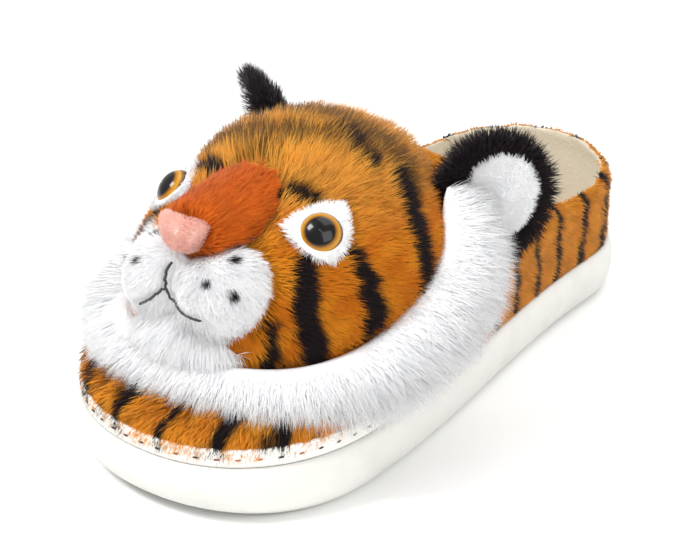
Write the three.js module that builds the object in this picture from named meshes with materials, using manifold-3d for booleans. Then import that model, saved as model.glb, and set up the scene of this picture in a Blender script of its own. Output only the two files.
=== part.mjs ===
// Animal slipper: a stuffed tiger's head on a plush shell, on a white foam cup sole. It is a right shoe.
// Millimetres, +Z up, toe towards -Y, floor at Z = 0. Left and right in names are the wearer's: +X is left.
import * as THREE from 'three';
import Module from 'manifold-3d';

const wasm = await Module();
wasm.setup();

// Sizes of the sole.
const soleLength = 280;
const ballWidth = 122;
const heelWidth = 94;
const toeDepth = 61;
const toeSwing = 4;
const archNip = 1.5;
const soleHeight = 21;
const cupFloor = 12;
const rimWall = 3.2;
const edgeRound = 5;
const toeSpring = 4;
const heelBevel = 2;
const grooveWidth = 1.4;
const grooveDepth = 1;
const borderWidth = 1.4;
const plaqueLength = 113;
const plaqueWidth = 12;

// Sizes of the shell, the insole and the stitched strip.
const wall = 3;
const instepHeight = 83;
const shellBulge = 3;
const heelHeight = 58;
const insoleThick = 6;
const stripHeight = 6;
const stripThick = 1.5;
const stripRound = 0.5;

// Sizes of the head and what is sewn on it.
const headWidth = 114;
const headRise = 76;
const headFront = 70;
const headBack = 52;
const headDrop = 53;
const muzzleWidth = 60;
const bridgeWidth = 36;
const overlayThick = 2;
const eyeDiameter = 14.6;
const eyeHeight = 5.8;
const noseWidth = 21.5;
const noseHeight = 12.5;
const noseThick = 7;
const earWidth = 42;
const earHeight = 50;
const earThick = 9;
const earCup = 7;
const liningWidth = 30;
const liningHeight = 36;
const liningThick = 3;
const ruffRadius = 13;
const lockLength = 13;
const lockWidth = 8;
const lockPitch = 8;

// Curved pieces meet with this gap.
const clear = 0.3;

// Smooth curve through a table's rows: the value of one column at a share along it.
function readTable(rows, key, column, share) {
  const last = rows.length - 1;
  const at = THREE.MathUtils.clamp(share, rows[0][key], rows[last][key]);
  let k = 0;
  while (k < last - 1 && at > rows[k + 1][key]) k += 1;
  const slope = (i) => {
    const low = Math.max(i - 1, 0);
    const high = Math.min(i + 1, last);
    return (rows[high][column] - rows[low][column]) / (rows[high][key] - rows[low][key]);
  };
  const span = rows[k + 1][key] - rows[k][key];
  const t = (at - rows[k][key]) / span;
  const rise = rows[k + 1][column] - rows[k][column];
  const start = slope(k) * span;
  const end = slope(k + 1) * span;
  return rows[k][column] + t * (start + t * (3 * rise - 2 * start - end + t * (start + end - 2 * rise)));
}

// A closed skin through rings of equally many points. Rings that collapse to a line or point close an end,
// and so does a fan to the ring's middle where the end ring is open.
function loft(rings) {
  const points = [];
  const index = new Map();
  const corner = (p) => {
    const key = [p.x, p.y, p.z].map((v) => Math.round(v * 1e4)).join();
    if (!index.has(key)) {
      index.set(key, index.size);
      points.push(p.x, p.y, p.z);
    }
    return index.get(key);
  };
  const triangles = [];
  const face = (a, b, c) => {
    if (a !== b && b !== c && c !== a) triangles.push(a, b, c);
  };
  const ids = rings.map((ring) => ring.map(corner));
  const count = rings[0].length;
  for (let k = 0; k + 1 < ids.length; k += 1) {
    for (let i = 0; i < count; i += 1) {
      const j = (i + 1) % count;
      face(ids[k][i], ids[k][j], ids[k + 1][j]);
      face(ids[k][i], ids[k + 1][j], ids[k + 1][i]);
    }
  }
  [[0, true], [rings.length - 1, false]].forEach(([k, first]) => {
    if (new Set(ids[k]).size < count) return;
    const middle = rings[k].reduce((sum, p) => sum.add(p), new THREE.Vector3()).divideScalar(count);
    const hub = corner(middle);
    for (let i = 0; i < count; i += 1) {
      const j = (i + 1) % count;
      if (first) face(hub, ids[k][j], ids[k][i]);
      else face(hub, ids[k][i], ids[k][j]);
    }
  });
  const geometry = new THREE.BufferGeometry();
  geometry.setAttribute('position', new THREE.Float32BufferAttribute(points, 3));
  geometry.setIndex(triangles);
  return geometry;
}

// Solids for cutting and joining, and back to a geometry.
function solid(geometry) {
  const source = geometry.index ? geometry.toNonIndexed() : geometry;
  const position = source.attributes.position;
  const welded = [];
  const index = new Map();
  const corners = [];
  for (let i = 0; i < position.count; i += 1) {
    const xyz = [position.getX(i), position.getY(i), position.getZ(i)];
    const key = xyz.map((v) => Math.round(v * 1e4)).join();
    if (!index.has(key)) {
      index.set(key, index.size);
      welded.push(...xyz);
    }
    corners.push(index.get(key));
  }
  const kept = [];
  for (let i = 0; i < corners.length; i += 3) {
    const [a, b, c] = corners.slice(i, i + 3);
    if (a !== b && b !== c && c !== a) kept.push(a, b, c);
  }
  const vertProperties = new Float32Array(welded);
  const triVerts = new Uint32Array(kept);
  return new wasm.Manifold(new wasm.Mesh({ numProp: 3, vertProperties, triVerts }));
}

function asGeometry(body) {
  const mesh = body.getMesh();
  const geometry = new THREE.BufferGeometry();
  geometry.setAttribute('position', new THREE.BufferAttribute(mesh.vertProperties, 3));
  geometry.setIndex(new THREE.BufferAttribute(mesh.triVerts, 1));
  return geometry;
}

const cut = (body, ...tools) => tools.reduce((rest, tool) => rest.subtract(tool), body);
const join = (...bodies) => bodies.reduce((sum, body) => sum.add(body));

// Plan of the sole, as stations round its edge from the right of the ball past the toe. Each station has
// its edge point, its outward direction and the point of the middle line that faces it.
const toeCentre = toeDepth - soleLength / 2;
const heelCentre = (soleLength - heelWidth) / 2;
const toeSteps = 16;
const sideSteps = 8;
const heelSteps = 12;
const toeSquareness = 2.1;
const sideFullness = 1.15;

function planStations() {
  const stations = [];
  const power = 2 / toeSquareness;
  for (let i = 0; i < toeSteps; i += 1) {
    const turn = Math.PI * (i / toeSteps - 0.5);
    const ahead = Math.abs(Math.cos(turn)) ** power;
    const side = Math.sign(Math.sin(turn)) * Math.abs(Math.sin(turn)) ** power;
    const x = (ballWidth / 2) * side + toeSwing * ahead ** 2;
    stations.push({ x, y: toeCentre - toeDepth * ahead, middle: toeCentre });
  }
  const sideStation = (t, sign) => {
    const ease = Math.cos((Math.PI / 2) * t ** sideFullness) ** 2;
    const nip = sign > 0 ? archNip * Math.sin(Math.PI * t) ** 2 : 0;
    const x = sign * (THREE.MathUtils.lerp(heelWidth, ballWidth, ease) / 2 - nip);
    const y = THREE.MathUtils.lerp(toeCentre, heelCentre, t);
    return { x, y, middle: y };
  };
  for (let i = 0; i < sideSteps; i += 1) stations.push(sideStation(i / sideSteps, 1));
  for (let i = 0; i < heelSteps; i += 1) {
    const turn = Math.PI * (i / heelSteps);
    const y = heelCentre + (heelWidth / 2) * Math.sin(turn);
    stations.push({ x: (heelWidth / 2) * Math.cos(turn), y, middle: heelCentre });
  }
  for (let i = 0; i < sideSteps; i += 1) stations.push(sideStation(1 - i / sideSteps, -1));
  const count = stations.length;
  stations.forEach((station, i) => {
    const before = stations[(i + count - 1) % count];
    const after = stations[(i + 1) % count];
    const length = Math.hypot(after.x - before.x, after.y - before.y);
    station.outX = (after.y - before.y) / length;
    station.outY = (before.x - after.x) / length;
  });
  return stations;
}
const plan = planStations();

// The toe and the heel lift off the floor.
const springStart = -0.32 * soleLength;
const bevelStart = 0.41 * soleLength;
function lift(y) {
  const toe = THREE.MathUtils.clamp((springStart - y) / (springStart + soleLength / 2), 0, 1);
  const heel = THREE.MathUtils.clamp((y - bevelStart) / (soleLength / 2 - bevelStart), 0, 1);
  return toeSpring * toe ** 2 + heelBevel * heel ** 2;
}

// A ring at a distance in from the sole's edge. A reach under 1 draws it to the middle line.
function planRing(inset, z, { reach = 1, lifted = 0 } = {}) {
  return plan.map((station) => {
    const x = (station.x - station.outX * inset) * reach;
    const y = station.middle + (station.y - station.outY * inset - station.middle) * reach;
    return new THREE.Vector3(x, y, z + lifted * lift(y));
  });
}

// Outsole: one foam cup with a rounded side, a border and a groove round its tread, and a bare plaque.
const sideRows = [
  { up: 0.05, inward: 0.62 },
  { up: 0.14, inward: 0.26 },
  { up: 0.28, inward: 0.04 },
  { up: 0.5, inward: -0.12 },
  { up: 0.74, inward: -0.08 },
  { up: 0.9, inward: 0.04 },
  { up: 0.97, inward: 0.16 },
  { up: 1, inward: 0.34 },
];

function outsoleGeometry() {
  const grooveOuter = edgeRound + borderWidth;
  const grooveInner = grooveOuter + grooveWidth;
  const slope = 0.15 * grooveDepth;
  const under = (inset, z, reach) => planRing(inset, z, { reach, lifted: 1 });
  const rings = [
    under(grooveInner, 0, 0),
    under(grooveInner, 0, 0.5),
    under(grooveInner, 0, 1),
    under(grooveInner - slope, grooveDepth, 1),
    under(grooveOuter + slope, grooveDepth, 1),
    under(grooveOuter, 0, 1),
    under(edgeRound, 0, 1),
  ];
  sideRows.forEach(({ up, inward }) => {
    rings.push(planRing(edgeRound * inward, soleHeight * up, { lifted: 1 - up }));
  });
  rings.push(planRing(rimWall, soleHeight));
  rings.push(planRing(rimWall, cupFloor));
  rings.push(planRing(rimWall, cupFloor, { reach: 0 }));
  const body = solid(loft(rings));
  return asGeometry(cut(body, plaqueMoat()));
}

// Stadium outline along Y, for the plaque under the arch.
function stadium(length, width) {
  const shape = new THREE.Shape();
  const straight = (length - width) / 2;
  shape.absarc(0, straight, width / 2, 0, Math.PI, false);
  shape.absarc(0, -straight, width / 2, Math.PI, 2 * Math.PI, false);
  return shape;
}

function plaqueMoat() {
  const shape = stadium(plaqueLength + 2 * grooveWidth, plaqueWidth + 2 * grooveWidth);
  shape.holes.push(stadium(plaqueLength, plaqueWidth));
  const options = { depth: 2 * grooveDepth, bevelEnabled: false, curveSegments: 6 };
  const geometry = new THREE.ExtrudeGeometry(shape, options);
  return solid(geometry.translate(0, 0, -grooveDepth));
}

// Insole: a soft pad that fills the cup inside the shell.
const shellInset = rimWall + clear;
const insoleInset = shellInset + wall + clear;
const insoleFloor = cupFloor + clear;
const insoleTop = insoleFloor + insoleThick;

function insoleGeometry() {
  const round = 0.3 * insoleThick;
  const rings = [
    planRing(insoleInset, insoleFloor, { reach: 0 }),
    planRing(insoleInset, insoleFloor),
    planRing(insoleInset, insoleTop - round),
    planRing(insoleInset + 0.3 * round, insoleTop - 0.3 * round),
    planRing(insoleInset + round, insoleTop),
    planRing(insoleInset + round, insoleTop, { reach: 0 }),
  ];
  return loft(rings);
}

// Toe strip: a stitched cloth band on the sole's rim, from side to side round the toe.
function toeStripGeometry() {
  const base = soleHeight + clear;
  const top = base + stripHeight;
  const inner = shellInset - clear;
  const outer = inner - stripThick;
  const section = [
    [inner, base],
    [inner, top],
    [inner - stripRound, top + stripRound],
    [outer + stripRound, top + stripRound],
    [outer, top - stripRound],
    [outer, base],
  ];
  const sideShare = 1;
  const first = plan.length - sideShare;
  const rings = [];
  for (let i = first; i <= first + toeSteps + 2 * sideShare; i += 1) {
    const station = plan[i % plan.length];
    rings.push(section.map(([inset, z]) => new THREE.Vector3(
      station.x - station.outX * inset,
      station.y - station.outY * inset,
      z,
    )));
  }
  return loft(rings);
}

// The shell's form: a straight foot inside the rim, then a dome that rises to a middle line. The rows
// give that line's height over the length, behind the collar as if the shell went on closed. The dome is
// full at the sides and slopes back over the toes.
const ridgeRows = [
  { along: 0.218, up: 0.62 },
  { along: 0.3, up: 0.72 },
  { along: 0.4, up: 0.84 },
  { along: 0.55, up: 1 },
  { along: 0.68, up: 1.14 },
  { along: 0.832, up: 1.2 },
];
const archTurns = [16, 32, 48, 64, 78, 90].map(THREE.MathUtils.degToRad);
const sideFull = 2.1;
const toeFull = 1.25;
const footTop = soleHeight + clear + stripHeight + stripRound;

function shellForm(grow, floor) {
  const inset = shellInset - grow;
  const rings = [planRing(inset, floor, { reach: 0 }), planRing(inset, floor), planRing(inset, footTop)];
  archTurns.forEach((turn) => {
    const bulge = shellBulge * Math.sin(2 * turn);
    rings.push(plan.map((station) => {
      const ahead = THREE.MathUtils.clamp((station.middle - station.y) / toeDepth, 0, 1);
      const power = 2 / THREE.MathUtils.lerp(sideFull, toeFull, ahead);
      const reach = turn < Math.PI / 2 ? Math.cos(turn) ** power : 0;
      const along = station.middle / soleLength + 0.5;
      const ridge = instepHeight * readTable(ridgeRows, 'along', 'up', along) + grow;
      const x = (station.x - station.outX * (inset - bulge)) * reach;
      const y = station.middle + (station.y - station.outY * (inset - bulge) - station.middle) * reach;
      return new THREE.Vector3(x, y, THREE.MathUtils.lerp(footTop, ridge, Math.sin(turn) ** power));
    }));
  });
  return solid(loft(rings));
}

// The collar's edge from the throat down the quarters and round the heel, seen from the side. Its height
// is a share of the instep's height and a share of the heel's.
const collarRows = [
  { along: 0.545, instep: 1.62, heel: 0 },
  { along: 0.555, instep: 1.11, heel: 0 },
  { along: 0.575, instep: 0.97, heel: 0 },
  { along: 0.62, instep: 0.45, heel: 0.5 },
  { along: 0.7, instep: 0.1, heel: 0.815 },
  { along: 0.8, instep: 0, heel: 0.885 },
  { along: 0.92, instep: 0, heel: 0.94 },
  { along: 1.02, instep: 0, heel: 1.015 },
];

function collarCutter() {
  const shape = new THREE.Shape();
  const height = (row) => row.instep * instepHeight + row.heel * heelHeight;
  const edge = collarRows.map((row) => new THREE.Vector2((row.along - 0.5) * soleLength, height(row)));
  shape.moveTo(edge[0].x, edge[0].y);
  shape.splineThru(edge.slice(1));
  shape.lineTo(soleLength, edge[edge.length - 1].y);
  shape.lineTo(soleLength, edge[0].y);
  const options = { depth: 2 * ballWidth, bevelEnabled: false, curveSegments: 3 };
  const geometry = new THREE.ExtrudeGeometry(shape, options);
  geometry.translate(0, 0, -ballWidth);
  geometry.rotateY(Math.PI / 2);
  geometry.rotateX(Math.PI / 2);
  return solid(geometry);
}

// Upper: one hollow shell with a closed heel, open at the collar and underneath.
function upperGeometry() {
  const outer = shellForm(0, insoleFloor);
  const inner = shellForm(-wall, insoleFloor - 2 * clear);
  return asGeometry(cut(outer, inner, collarCutter()));
}

// The head sits over the shell, with its seat below the instep and its middle ahead of it. Places on it
// are shares of its own sizes: sideways from the middle, ahead of the middle and up from the seat.
const headSeat = instepHeight - headDrop;
const headMiddle = -0.157 * soleLength;
function onHead(sideways, ahead, up) {
  const x = (sideways * headWidth) / 2;
  return new THREE.Vector3(x, headMiddle - ahead * headFront, headSeat + up * headRise);
}

// The head's form, in level sections from its seat to its top.
const headRows = [
  { up: 0, wide: 0.8, front: 0.9, back: 0.75 },
  { up: 0.19, wide: 0.96, front: 0.98, back: 0.9 },
  { up: 0.35, wide: 1, front: 0.97, back: 0.97 },
  { up: 0.51, wide: 0.97, front: 0.89, back: 1 },
  { up: 0.68, wide: 0.85, front: 0.73, back: 0.97 },
  { up: 0.81, wide: 0.65, front: 0.54, back: 0.83 },
  { up: 0.92, wide: 0.41, front: 0.33, back: 0.57 },
  { up: 0.98, wide: 0.2, front: 0.15, back: 0.28 },
  { up: 1, wide: 0, front: 0, back: 0 },
];
const headSteps = 30;
const headFullness = 2.2;

function headForm(grow) {
  const rise = headRise + grow;
  const power = 2 / headFullness;
  const levels = [0, 0.19, 0.35, 0.5, 0.63, 0.74, 0.83, 0.9, 0.95, 0.985, 1];
  const rings = levels.map((up) => {
    const size = (column, full) => {
      const share = readTable(headRows, 'up', column, up);
      return share > 0 ? share * full + grow : 0;
    };
    const wide = size('wide', headWidth / 2);
    const front = size('front', headFront);
    const back = size('back', headBack);
    return Array.from({ length: headSteps }, (_, i) => {
      const turn = (2 * Math.PI * i) / headSteps;
      const side = Math.cos(turn);
      const ahead = Math.sin(turn);
      const x = wide * Math.sign(side) * Math.abs(side) ** power;
      const y = (ahead < 0 ? front : back) * Math.sign(ahead) * Math.abs(ahead) ** power;
      return new THREE.Vector3(x, headMiddle + y, headSeat + rise * up);
    });
  });
  return solid(loft(rings));
}

// An ellipsoid at a place, with its three radii as shares of a size.
function ball(centre, radii, size, grow) {
  const steps = 16;
  const geometry = new THREE.SphereGeometry(1, steps, Math.round(steps * 0.6));
  geometry.rotateX(Math.PI / 2);
  geometry.scale(...radii.map((radius) => radius * size + grow));
  return solid(geometry.translate(centre.x, centre.y, centre.z));
}

// Muzzle: two whisker pads and a chin, stuffed and sewn to the head.
function muzzleForm(grow) {
  const pads = [-0.21, 0.21].map((x) => {
    const centre = onHead(0, 0.771, 0.5);
    centre.x = x * muzzleWidth;
    return ball(centre, [0.29, 0.355, 0.26], muzzleWidth, grow);
  });
  return join(...pads, ball(onHead(0, 0.8, 0.265), [0.44, 0.32, 0.23], muzzleWidth, grow));
}

// Bridge: the stuffed ridge from the forehead to the nose, in sections along it.
const bridgeRows = [
  { along: 0, ahead: 0.086, wide: 0.7, top: 0.92 },
  { along: 0.2, ahead: 0.23, wide: 0.92, top: 0.945 },
  { along: 0.5, ahead: 0.457, wide: 1, top: 0.92 },
  { along: 0.8, ahead: 0.714, wide: 0.89, top: 0.895 },
  { along: 1, ahead: 0.886, wide: 0.67, top: 0.868 },
];
const bridgeLow = 0.58;

function bridgeForm(grow) {
  const steps = 16;
  const rings = [0, 0.12, 0.3, 0.5, 0.7, 0.87, 1].map((along) => {
    const read = (column) => readTable(bridgeRows, 'along', column, along);
    const centre = onHead(0, read('ahead'), (read('top') + bridgeLow) / 2);
    if (along === 0) centre.y += grow;
    if (along === 1) centre.y -= grow;
    const wide = (read('wide') * bridgeWidth) / 2 + grow;
    const tall = ((read('top') - bridgeLow) * headRise) / 2 + grow;
    return Array.from({ length: steps }, (_, i) => {
      const turn = (2 * Math.PI * i) / steps;
      return new THREE.Vector3(wide * Math.cos(turn), centre.y, centre.z + tall * Math.sin(turn));
    });
  });
  return solid(loft(rings));
}

// Nose: a rounded triangle with a bevel, leaning back.
const noseLean = THREE.MathUtils.degToRad(62);

function noseForm(grow) {
  const shape = new THREE.Shape();
  const half = noseWidth / 2 + grow;
  const up = noseHeight / 2 + grow;
  shape.moveTo(0, -up);
  shape.quadraticCurveTo(half * 0.5, -up, half * 0.9, up * 0.2);
  shape.quadraticCurveTo(half * 1.15, up, half * 0.5, up);
  shape.quadraticCurveTo(0, up * 0.8, -half * 0.5, up);
  shape.quadraticCurveTo(-half * 1.15, up, -half * 0.9, up * 0.2);
  shape.quadraticCurveTo(-half * 0.5, -up, 0, -up);
  const bevel = 0.25 * noseThick;
  const options = {
    depth: noseThick - bevel,
    curveSegments: 4,
    bevelThickness: bevel,
    bevelSize: bevel,
    bevelOffset: -bevel,
    bevelSegments: 2,
  };
  const geometry = new THREE.ExtrudeGeometry(shape, options);
  geometry.rotateX(noseLean);
  const seat = onHead(0, 0.871, 0.75);
  return solid(geometry.translate(seat.x, seat.y, seat.z));
}

// The eyes look ahead, up and outward. Their frame turns +Z to that direction.
const eyePlace = onHead(0.583, 0.465, 0.735);
const eyeLook = new THREE.Vector3(0.46, -0.62, 0.63).normalize();
function eyeFrame(side) {
  const look = eyeLook.clone().multiply(new THREE.Vector3(side, 1, 1));
  const across = new THREE.Vector3(0, 0, 1).cross(look).normalize();
  const up = look.clone().cross(across);
  const frame = new THREE.Matrix4().makeBasis(across, up, look);
  return frame.setPosition(eyePlace.clone().multiply(new THREE.Vector3(side, 1, 1)));
}

// Eye patch: a petal of white plush laid on the head round the eye. Its outline is in eye diameters, from
// the corner by the bridge over the top and the outer side.
const patchRows = [
  { away: [-0.49, 0.1, 0.5], up: [0.54, 0.86, 0.84] },
  { away: [0.76, 0.76, 0.3], up: [0.4, -0.3, -0.7] },
  { away: [-0.25, -0.64, -0.9], up: [-0.7, -0.26, 0.2] },
];

function eyePatchSolid(side) {
  const shape = new THREE.Shape();
  const corner = patchRows[patchRows.length - 1];
  shape.moveTo(side * corner.away[2] * eyeDiameter, corner.up[2] * eyeDiameter);
  patchRows.forEach(({ away, up }) => {
    const points = away.flatMap((share, i) => [side * share * eyeDiameter, up[i] * eyeDiameter]);
    shape.bezierCurveTo(...points);
  });
  const options = { depth: headWidth / 2, bevelEnabled: false, curveSegments: 4 };
  const geometry = new THREE.ExtrudeGeometry(shape, options);
  geometry.translate(0, 0, -headWidth / 5);
  geometry.applyMatrix4(eyeFrame(side));
  return headForm(overlayThick).intersect(solid(geometry)).subtract(headForm(clear));
}

// Eye: a domed button, its back cut to the patch that it sits on.
function eyeForm(side, grow) {
  const radius = eyeDiameter / 2 + grow;
  const depth = 0.7 * eyeDiameter;
  const profile = [new THREE.Vector2(0, -depth), new THREE.Vector2(radius, -depth)];
  [0, 24, 48, 70].map(THREE.MathUtils.degToRad).forEach((turn) => {
    profile.push(new THREE.Vector2(radius * Math.cos(turn), (eyeHeight + grow) * Math.sin(turn)));
  });
  profile.push(new THREE.Vector2(0, eyeHeight + grow));
  const geometry = new THREE.LatheGeometry(profile, 16);
  geometry.rotateX(Math.PI / 2);
  geometry.applyMatrix4(eyeFrame(side));
  return solid(geometry);
}

// Ear: a cupped, stuffed leaf. Rings run over its back, round its edge and over its front.
const earPlace = onHead(0.895, -0.643, 0.68);
const earTurn = THREE.MathUtils.degToRad(42);
const earTilt = THREE.MathUtils.degToRad(8);
const earSteps = 16;
const earReach = [0, 0.55, 0.88, 1];
const earNarrowing = 0.08;
const earBend = (share) => -earCup * share ** 2;

function earLeaf(side, half, shift, face) {
  const ring = (reach, front) => Array.from({ length: earSteps }, (_, i) => {
    const turn = (2 * Math.PI * i) / earSteps;
    const narrow = 1 - earNarrowing * (1 - Math.sin(turn));
    const x = half.x * reach * Math.cos(turn) * narrow + side * shift.x;
    const z = half.z * reach * Math.sin(turn) + shift.z;
    const share = Math.hypot(x / earWidth, z / earHeight) * 2;
    return new THREE.Vector3(x, face(share, Math.sqrt(1 - reach ** 2), front), z);
  });
  const backRings = earReach.map((reach) => ring(reach, false));
  const frontRings = earReach.slice(0, -1).reverse().map((reach) => ring(reach, true));
  const geometry = loft([...backRings, ...frontRings]);
  geometry.rotateX(earTilt);
  geometry.rotateZ(side * earTurn);
  return solid(geometry.translate(side * earPlace.x, earPlace.y, earPlace.z));
}

function earForm(side, grow) {
  const half = { x: earWidth / 2 + grow, z: earHeight / 2 + grow };
  const skin = earThick / 2 + grow;
  return earLeaf(side, half, { x: 0, z: 0 }, (share, thin, front) =>
    earBend(share) + (front ? -1 : 1) * skin * thin);
}

// Ear lining: a thin white pad that follows the hollow of the ear.
const liningShift = { x: 3, z: 2 };

function earLiningForm(side, grow) {
  const half = { x: liningWidth / 2 + grow, z: liningHeight / 2 + grow };
  return earLeaf(side, half, liningShift, (share, thin, front) => {
    const seat = earBend(share) - (earThick / 2) * Math.sqrt(Math.max(1 - share ** 2, 0)) - 2 * clear;
    return seat - (front ? liningThick * thin + grow : -grow);
  });
}

// Ruff: a roll of long fur from ear to ear under the chin, with locks fused on.
const ruffRows = [
  { along: 0, sideways: 0, ahead: 1.043, up: 0.145, thick: 0.62, droop: 0.1 },
  { along: 0.14, sideways: 0.421, ahead: 0.971, up: 0.132, thick: 0.74, droop: 0.12 },
  { along: 0.28, sideways: 0.737, ahead: 0.786, up: 0.118, thick: 0.88, droop: 0.15 },
  { along: 0.43, sideways: 0.947, ahead: 0.5, up: 0.145, thick: 1, droop: 0.4 },
  { along: 0.58, sideways: 1.035, ahead: 0.171, up: 0.237, thick: 1.04, droop: 0.8 },
  { along: 0.73, sideways: 1.035, ahead: -0.129, up: 0.395, thick: 1, droop: 1 },
  { along: 0.87, sideways: 0.947, ahead: -0.3, up: 0.592, thick: 0.8, droop: 0.9 },
  { along: 1, sideways: 0.807, ahead: -0.357, up: 0.763, thick: 0.5, droop: 0.6 },
];

const ruffFall = 10;
const ruffSides = 10;
const ruffParts = 12;

// A place on the roll at a share from the chin, 0, to the left ear, 1, or to the right ear, -1.
function ruffPlace(share) {
  const read = (column) => readTable(ruffRows, 'along', column, Math.abs(share));
  return onHead(Math.sign(share) * read('sideways'), read('ahead'), read('up'));
}

function ruffFrame(share) {
  const step = 0.02;
  const centre = ruffPlace(share);
  const ahead = ruffPlace(Math.min(share + step, 1));
  const tangent = ahead.sub(ruffPlace(Math.max(share - step, -1))).normalize();
  const away = new THREE.Vector3(centre.x, centre.y - headMiddle, -ruffFall);
  const out = away.projectOnPlane(tangent).normalize();
  const radius = ruffRadius * readTable(ruffRows, 'along', 'thick', Math.abs(share));
  return { centre, tangent, out, over: tangent.clone().cross(out), radius };
}

function ruffForm() {
  const rings = [];
  for (let i = -ruffParts; i <= ruffParts; i += 1) {
    const { centre, out, over, radius } = ruffFrame(i / ruffParts);
    rings.push(Array.from({ length: ruffSides }, (_, k) => {
      const turn = (2 * Math.PI * k) / ruffSides;
      const across = out.clone().multiplyScalar(Math.cos(turn)).addScaledVector(over, Math.sin(turn));
      return centre.clone().addScaledVector(across, radius);
    }));
  }
  return solid(loft(rings));
}

// One lock: a flat tapered tuft of four sides that lies along the roll's side and droops to its tip.
const lockDroop = 0.22;
const lockTaper = 2.2;
const lockFlatness = 0.6;

function lockSolid({ tangent }, root, direction, length, width) {
  const up = direction.clone().cross(tangent);
  const rings = [0, 0.5, 1].map((share) => {
    const centre = root.clone().addScaledVector(direction, length * share);
    centre.z -= lockDroop * length * share ** 2;
    const size = width * (1 - share ** lockTaper);
    return [0, 1, 2, 3].map((k) => {
      const turn = (Math.PI * k) / 2;
      return centre.clone()
        .addScaledVector(tangent, size * Math.cos(turn))
        .addScaledVector(up, lockFlatness * size * Math.sin(turn));
    });
  });
  return solid(loft(rings));
}

// The locks stand in two rows, one out from the roll and one down over the shell and the rim. Their roots
// lie inside the roll, at a share of its radius.
const lockSpread = 0.95;
const lockRoot = 0.55;
const outerLean = 0.1;

function ruffSolid() {
  const samples = Array.from({ length: 21 }, (_, i) => ruffPlace(i / 20));
  const half = samples.slice(1).reduce((sum, p, i) => sum + p.distanceTo(samples[i]), 0);
  const perSide = Math.round(half / lockPitch);
  const locks = [];
  for (let i = -perSide; i <= perSide; i += 1) {
    const share = (lockSpread * i) / perSide;
    const frame = ruffFrame(share);
    const lean = i % 2 === 0 ? readTable(ruffRows, 'along', 'droop', Math.abs(share)) : outerLean;
    const direction = frame.out.clone().addScaledVector(frame.over, lean).normalize();
    const size = frame.radius / ruffRadius;
    const root = frame.centre.clone().addScaledVector(direction, lockRoot * frame.radius);
    const length = (1 - lockRoot) * frame.radius + lockLength * size;
    locks.push(lockSolid(frame, root, direction, length, lockWidth * size));
  }
  return join(ruffForm(), ...locks);
}

// What the ruff hangs over: the sole's rim and the toe strip, with the gap.
function rimForm() {
  const sole = -0.12 * edgeRound - clear;
  const strip = shellInset - clear - stripThick - clear;
  const rimTop = soleHeight + clear;
  const rings = [
    planRing(sole, -1, { reach: 0 }),
    planRing(sole, -1),
    planRing(sole, rimTop),
    planRing(strip, rimTop),
    planRing(strip, footTop + clear),
    planRing(strip, footTop + clear, { reach: 0 }),
  ];
  return solid(loft(rings));
}

// The assembly. Each soft piece is cut by those that it sits on, grown by the gap.
const shellSeat = shellForm(clear, 0);
const headSolid = cut(headForm(0), shellSeat);
const headGrown = headForm(clear);
const muzzleSolid = cut(muzzleForm(0), shellSeat, headGrown);
const bridgeSolid = cut(bridgeForm(0), headGrown, muzzleForm(clear));
const noseSolid = cut(noseForm(0), headGrown, muzzleForm(clear), bridgeForm(clear));

const plush = (colour) => new THREE.MeshStandardMaterial({ color: colour, roughness: 0.95, metalness: 0 });
const foam = new THREE.MeshStandardMaterial({ color: 0xf1f0ea, roughness: 0.5, metalness: 0 });
const cloth = new THREE.MeshStandardMaterial({ color: 0xf0eee8, roughness: 0.85, metalness: 0 });
const orange = plush(0xc87a1e);
const rust = plush(0xbe5010);
const white = plush(0xf2f2f2);
const black = plush(0x261c20);
const pink = plush(0xe8ab9c);
const amber = new THREE.MeshStandardMaterial({ color: 0xb07a18, roughness: 0.08, metalness: 0 });

const group = new THREE.Group();
function add(name, geometry, material) {
  const mesh = new THREE.Mesh(geometry, material);
  mesh.name = name;
  group.add(mesh);
}

add('outsole', outsoleGeometry(), foam);
add('insole', insoleGeometry(), cloth);
add('toe_strip', toeStripGeometry(), cloth);
add('upper', upperGeometry(), orange);
add('head', asGeometry(headSolid), orange);
add('muzzle', asGeometry(muzzleSolid), white);
add('bridge', asGeometry(bridgeSolid), rust);
add('nose', asGeometry(noseSolid), pink);

const earCutters = [];
[['left', 1], ['right', -1]].forEach(([name, side]) => {
  const patch = cut(eyePatchSolid(side), bridgeForm(clear), muzzleForm(clear));
  add(`eye_patch_${name}`, asGeometry(patch), white);
  const eye = cut(eyeForm(side, 0), headForm(overlayThick + clear));
  add(`eye_${name}`, asGeometry(eye), amber);
  add(`ear_${name}`, asGeometry(cut(earForm(side, 0), shellSeat, headGrown)), black);
  const lining = cut(earLiningForm(side, 0), shellSeat, headGrown);
  add(`ear_lining_${name}`, asGeometry(lining), white);
  earCutters.push(earForm(side, clear), earLiningForm(side, clear));
});

const ruff = cut(ruffSolid(), shellSeat, rimForm(), headGrown, muzzleForm(clear), ...earCutters);
add('ruff', asGeometry(ruff), white);

export default group;
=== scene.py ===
import math

import bpy
import numpy as np
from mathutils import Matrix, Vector
from mathutils.bvhtree import BVHTree


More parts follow.
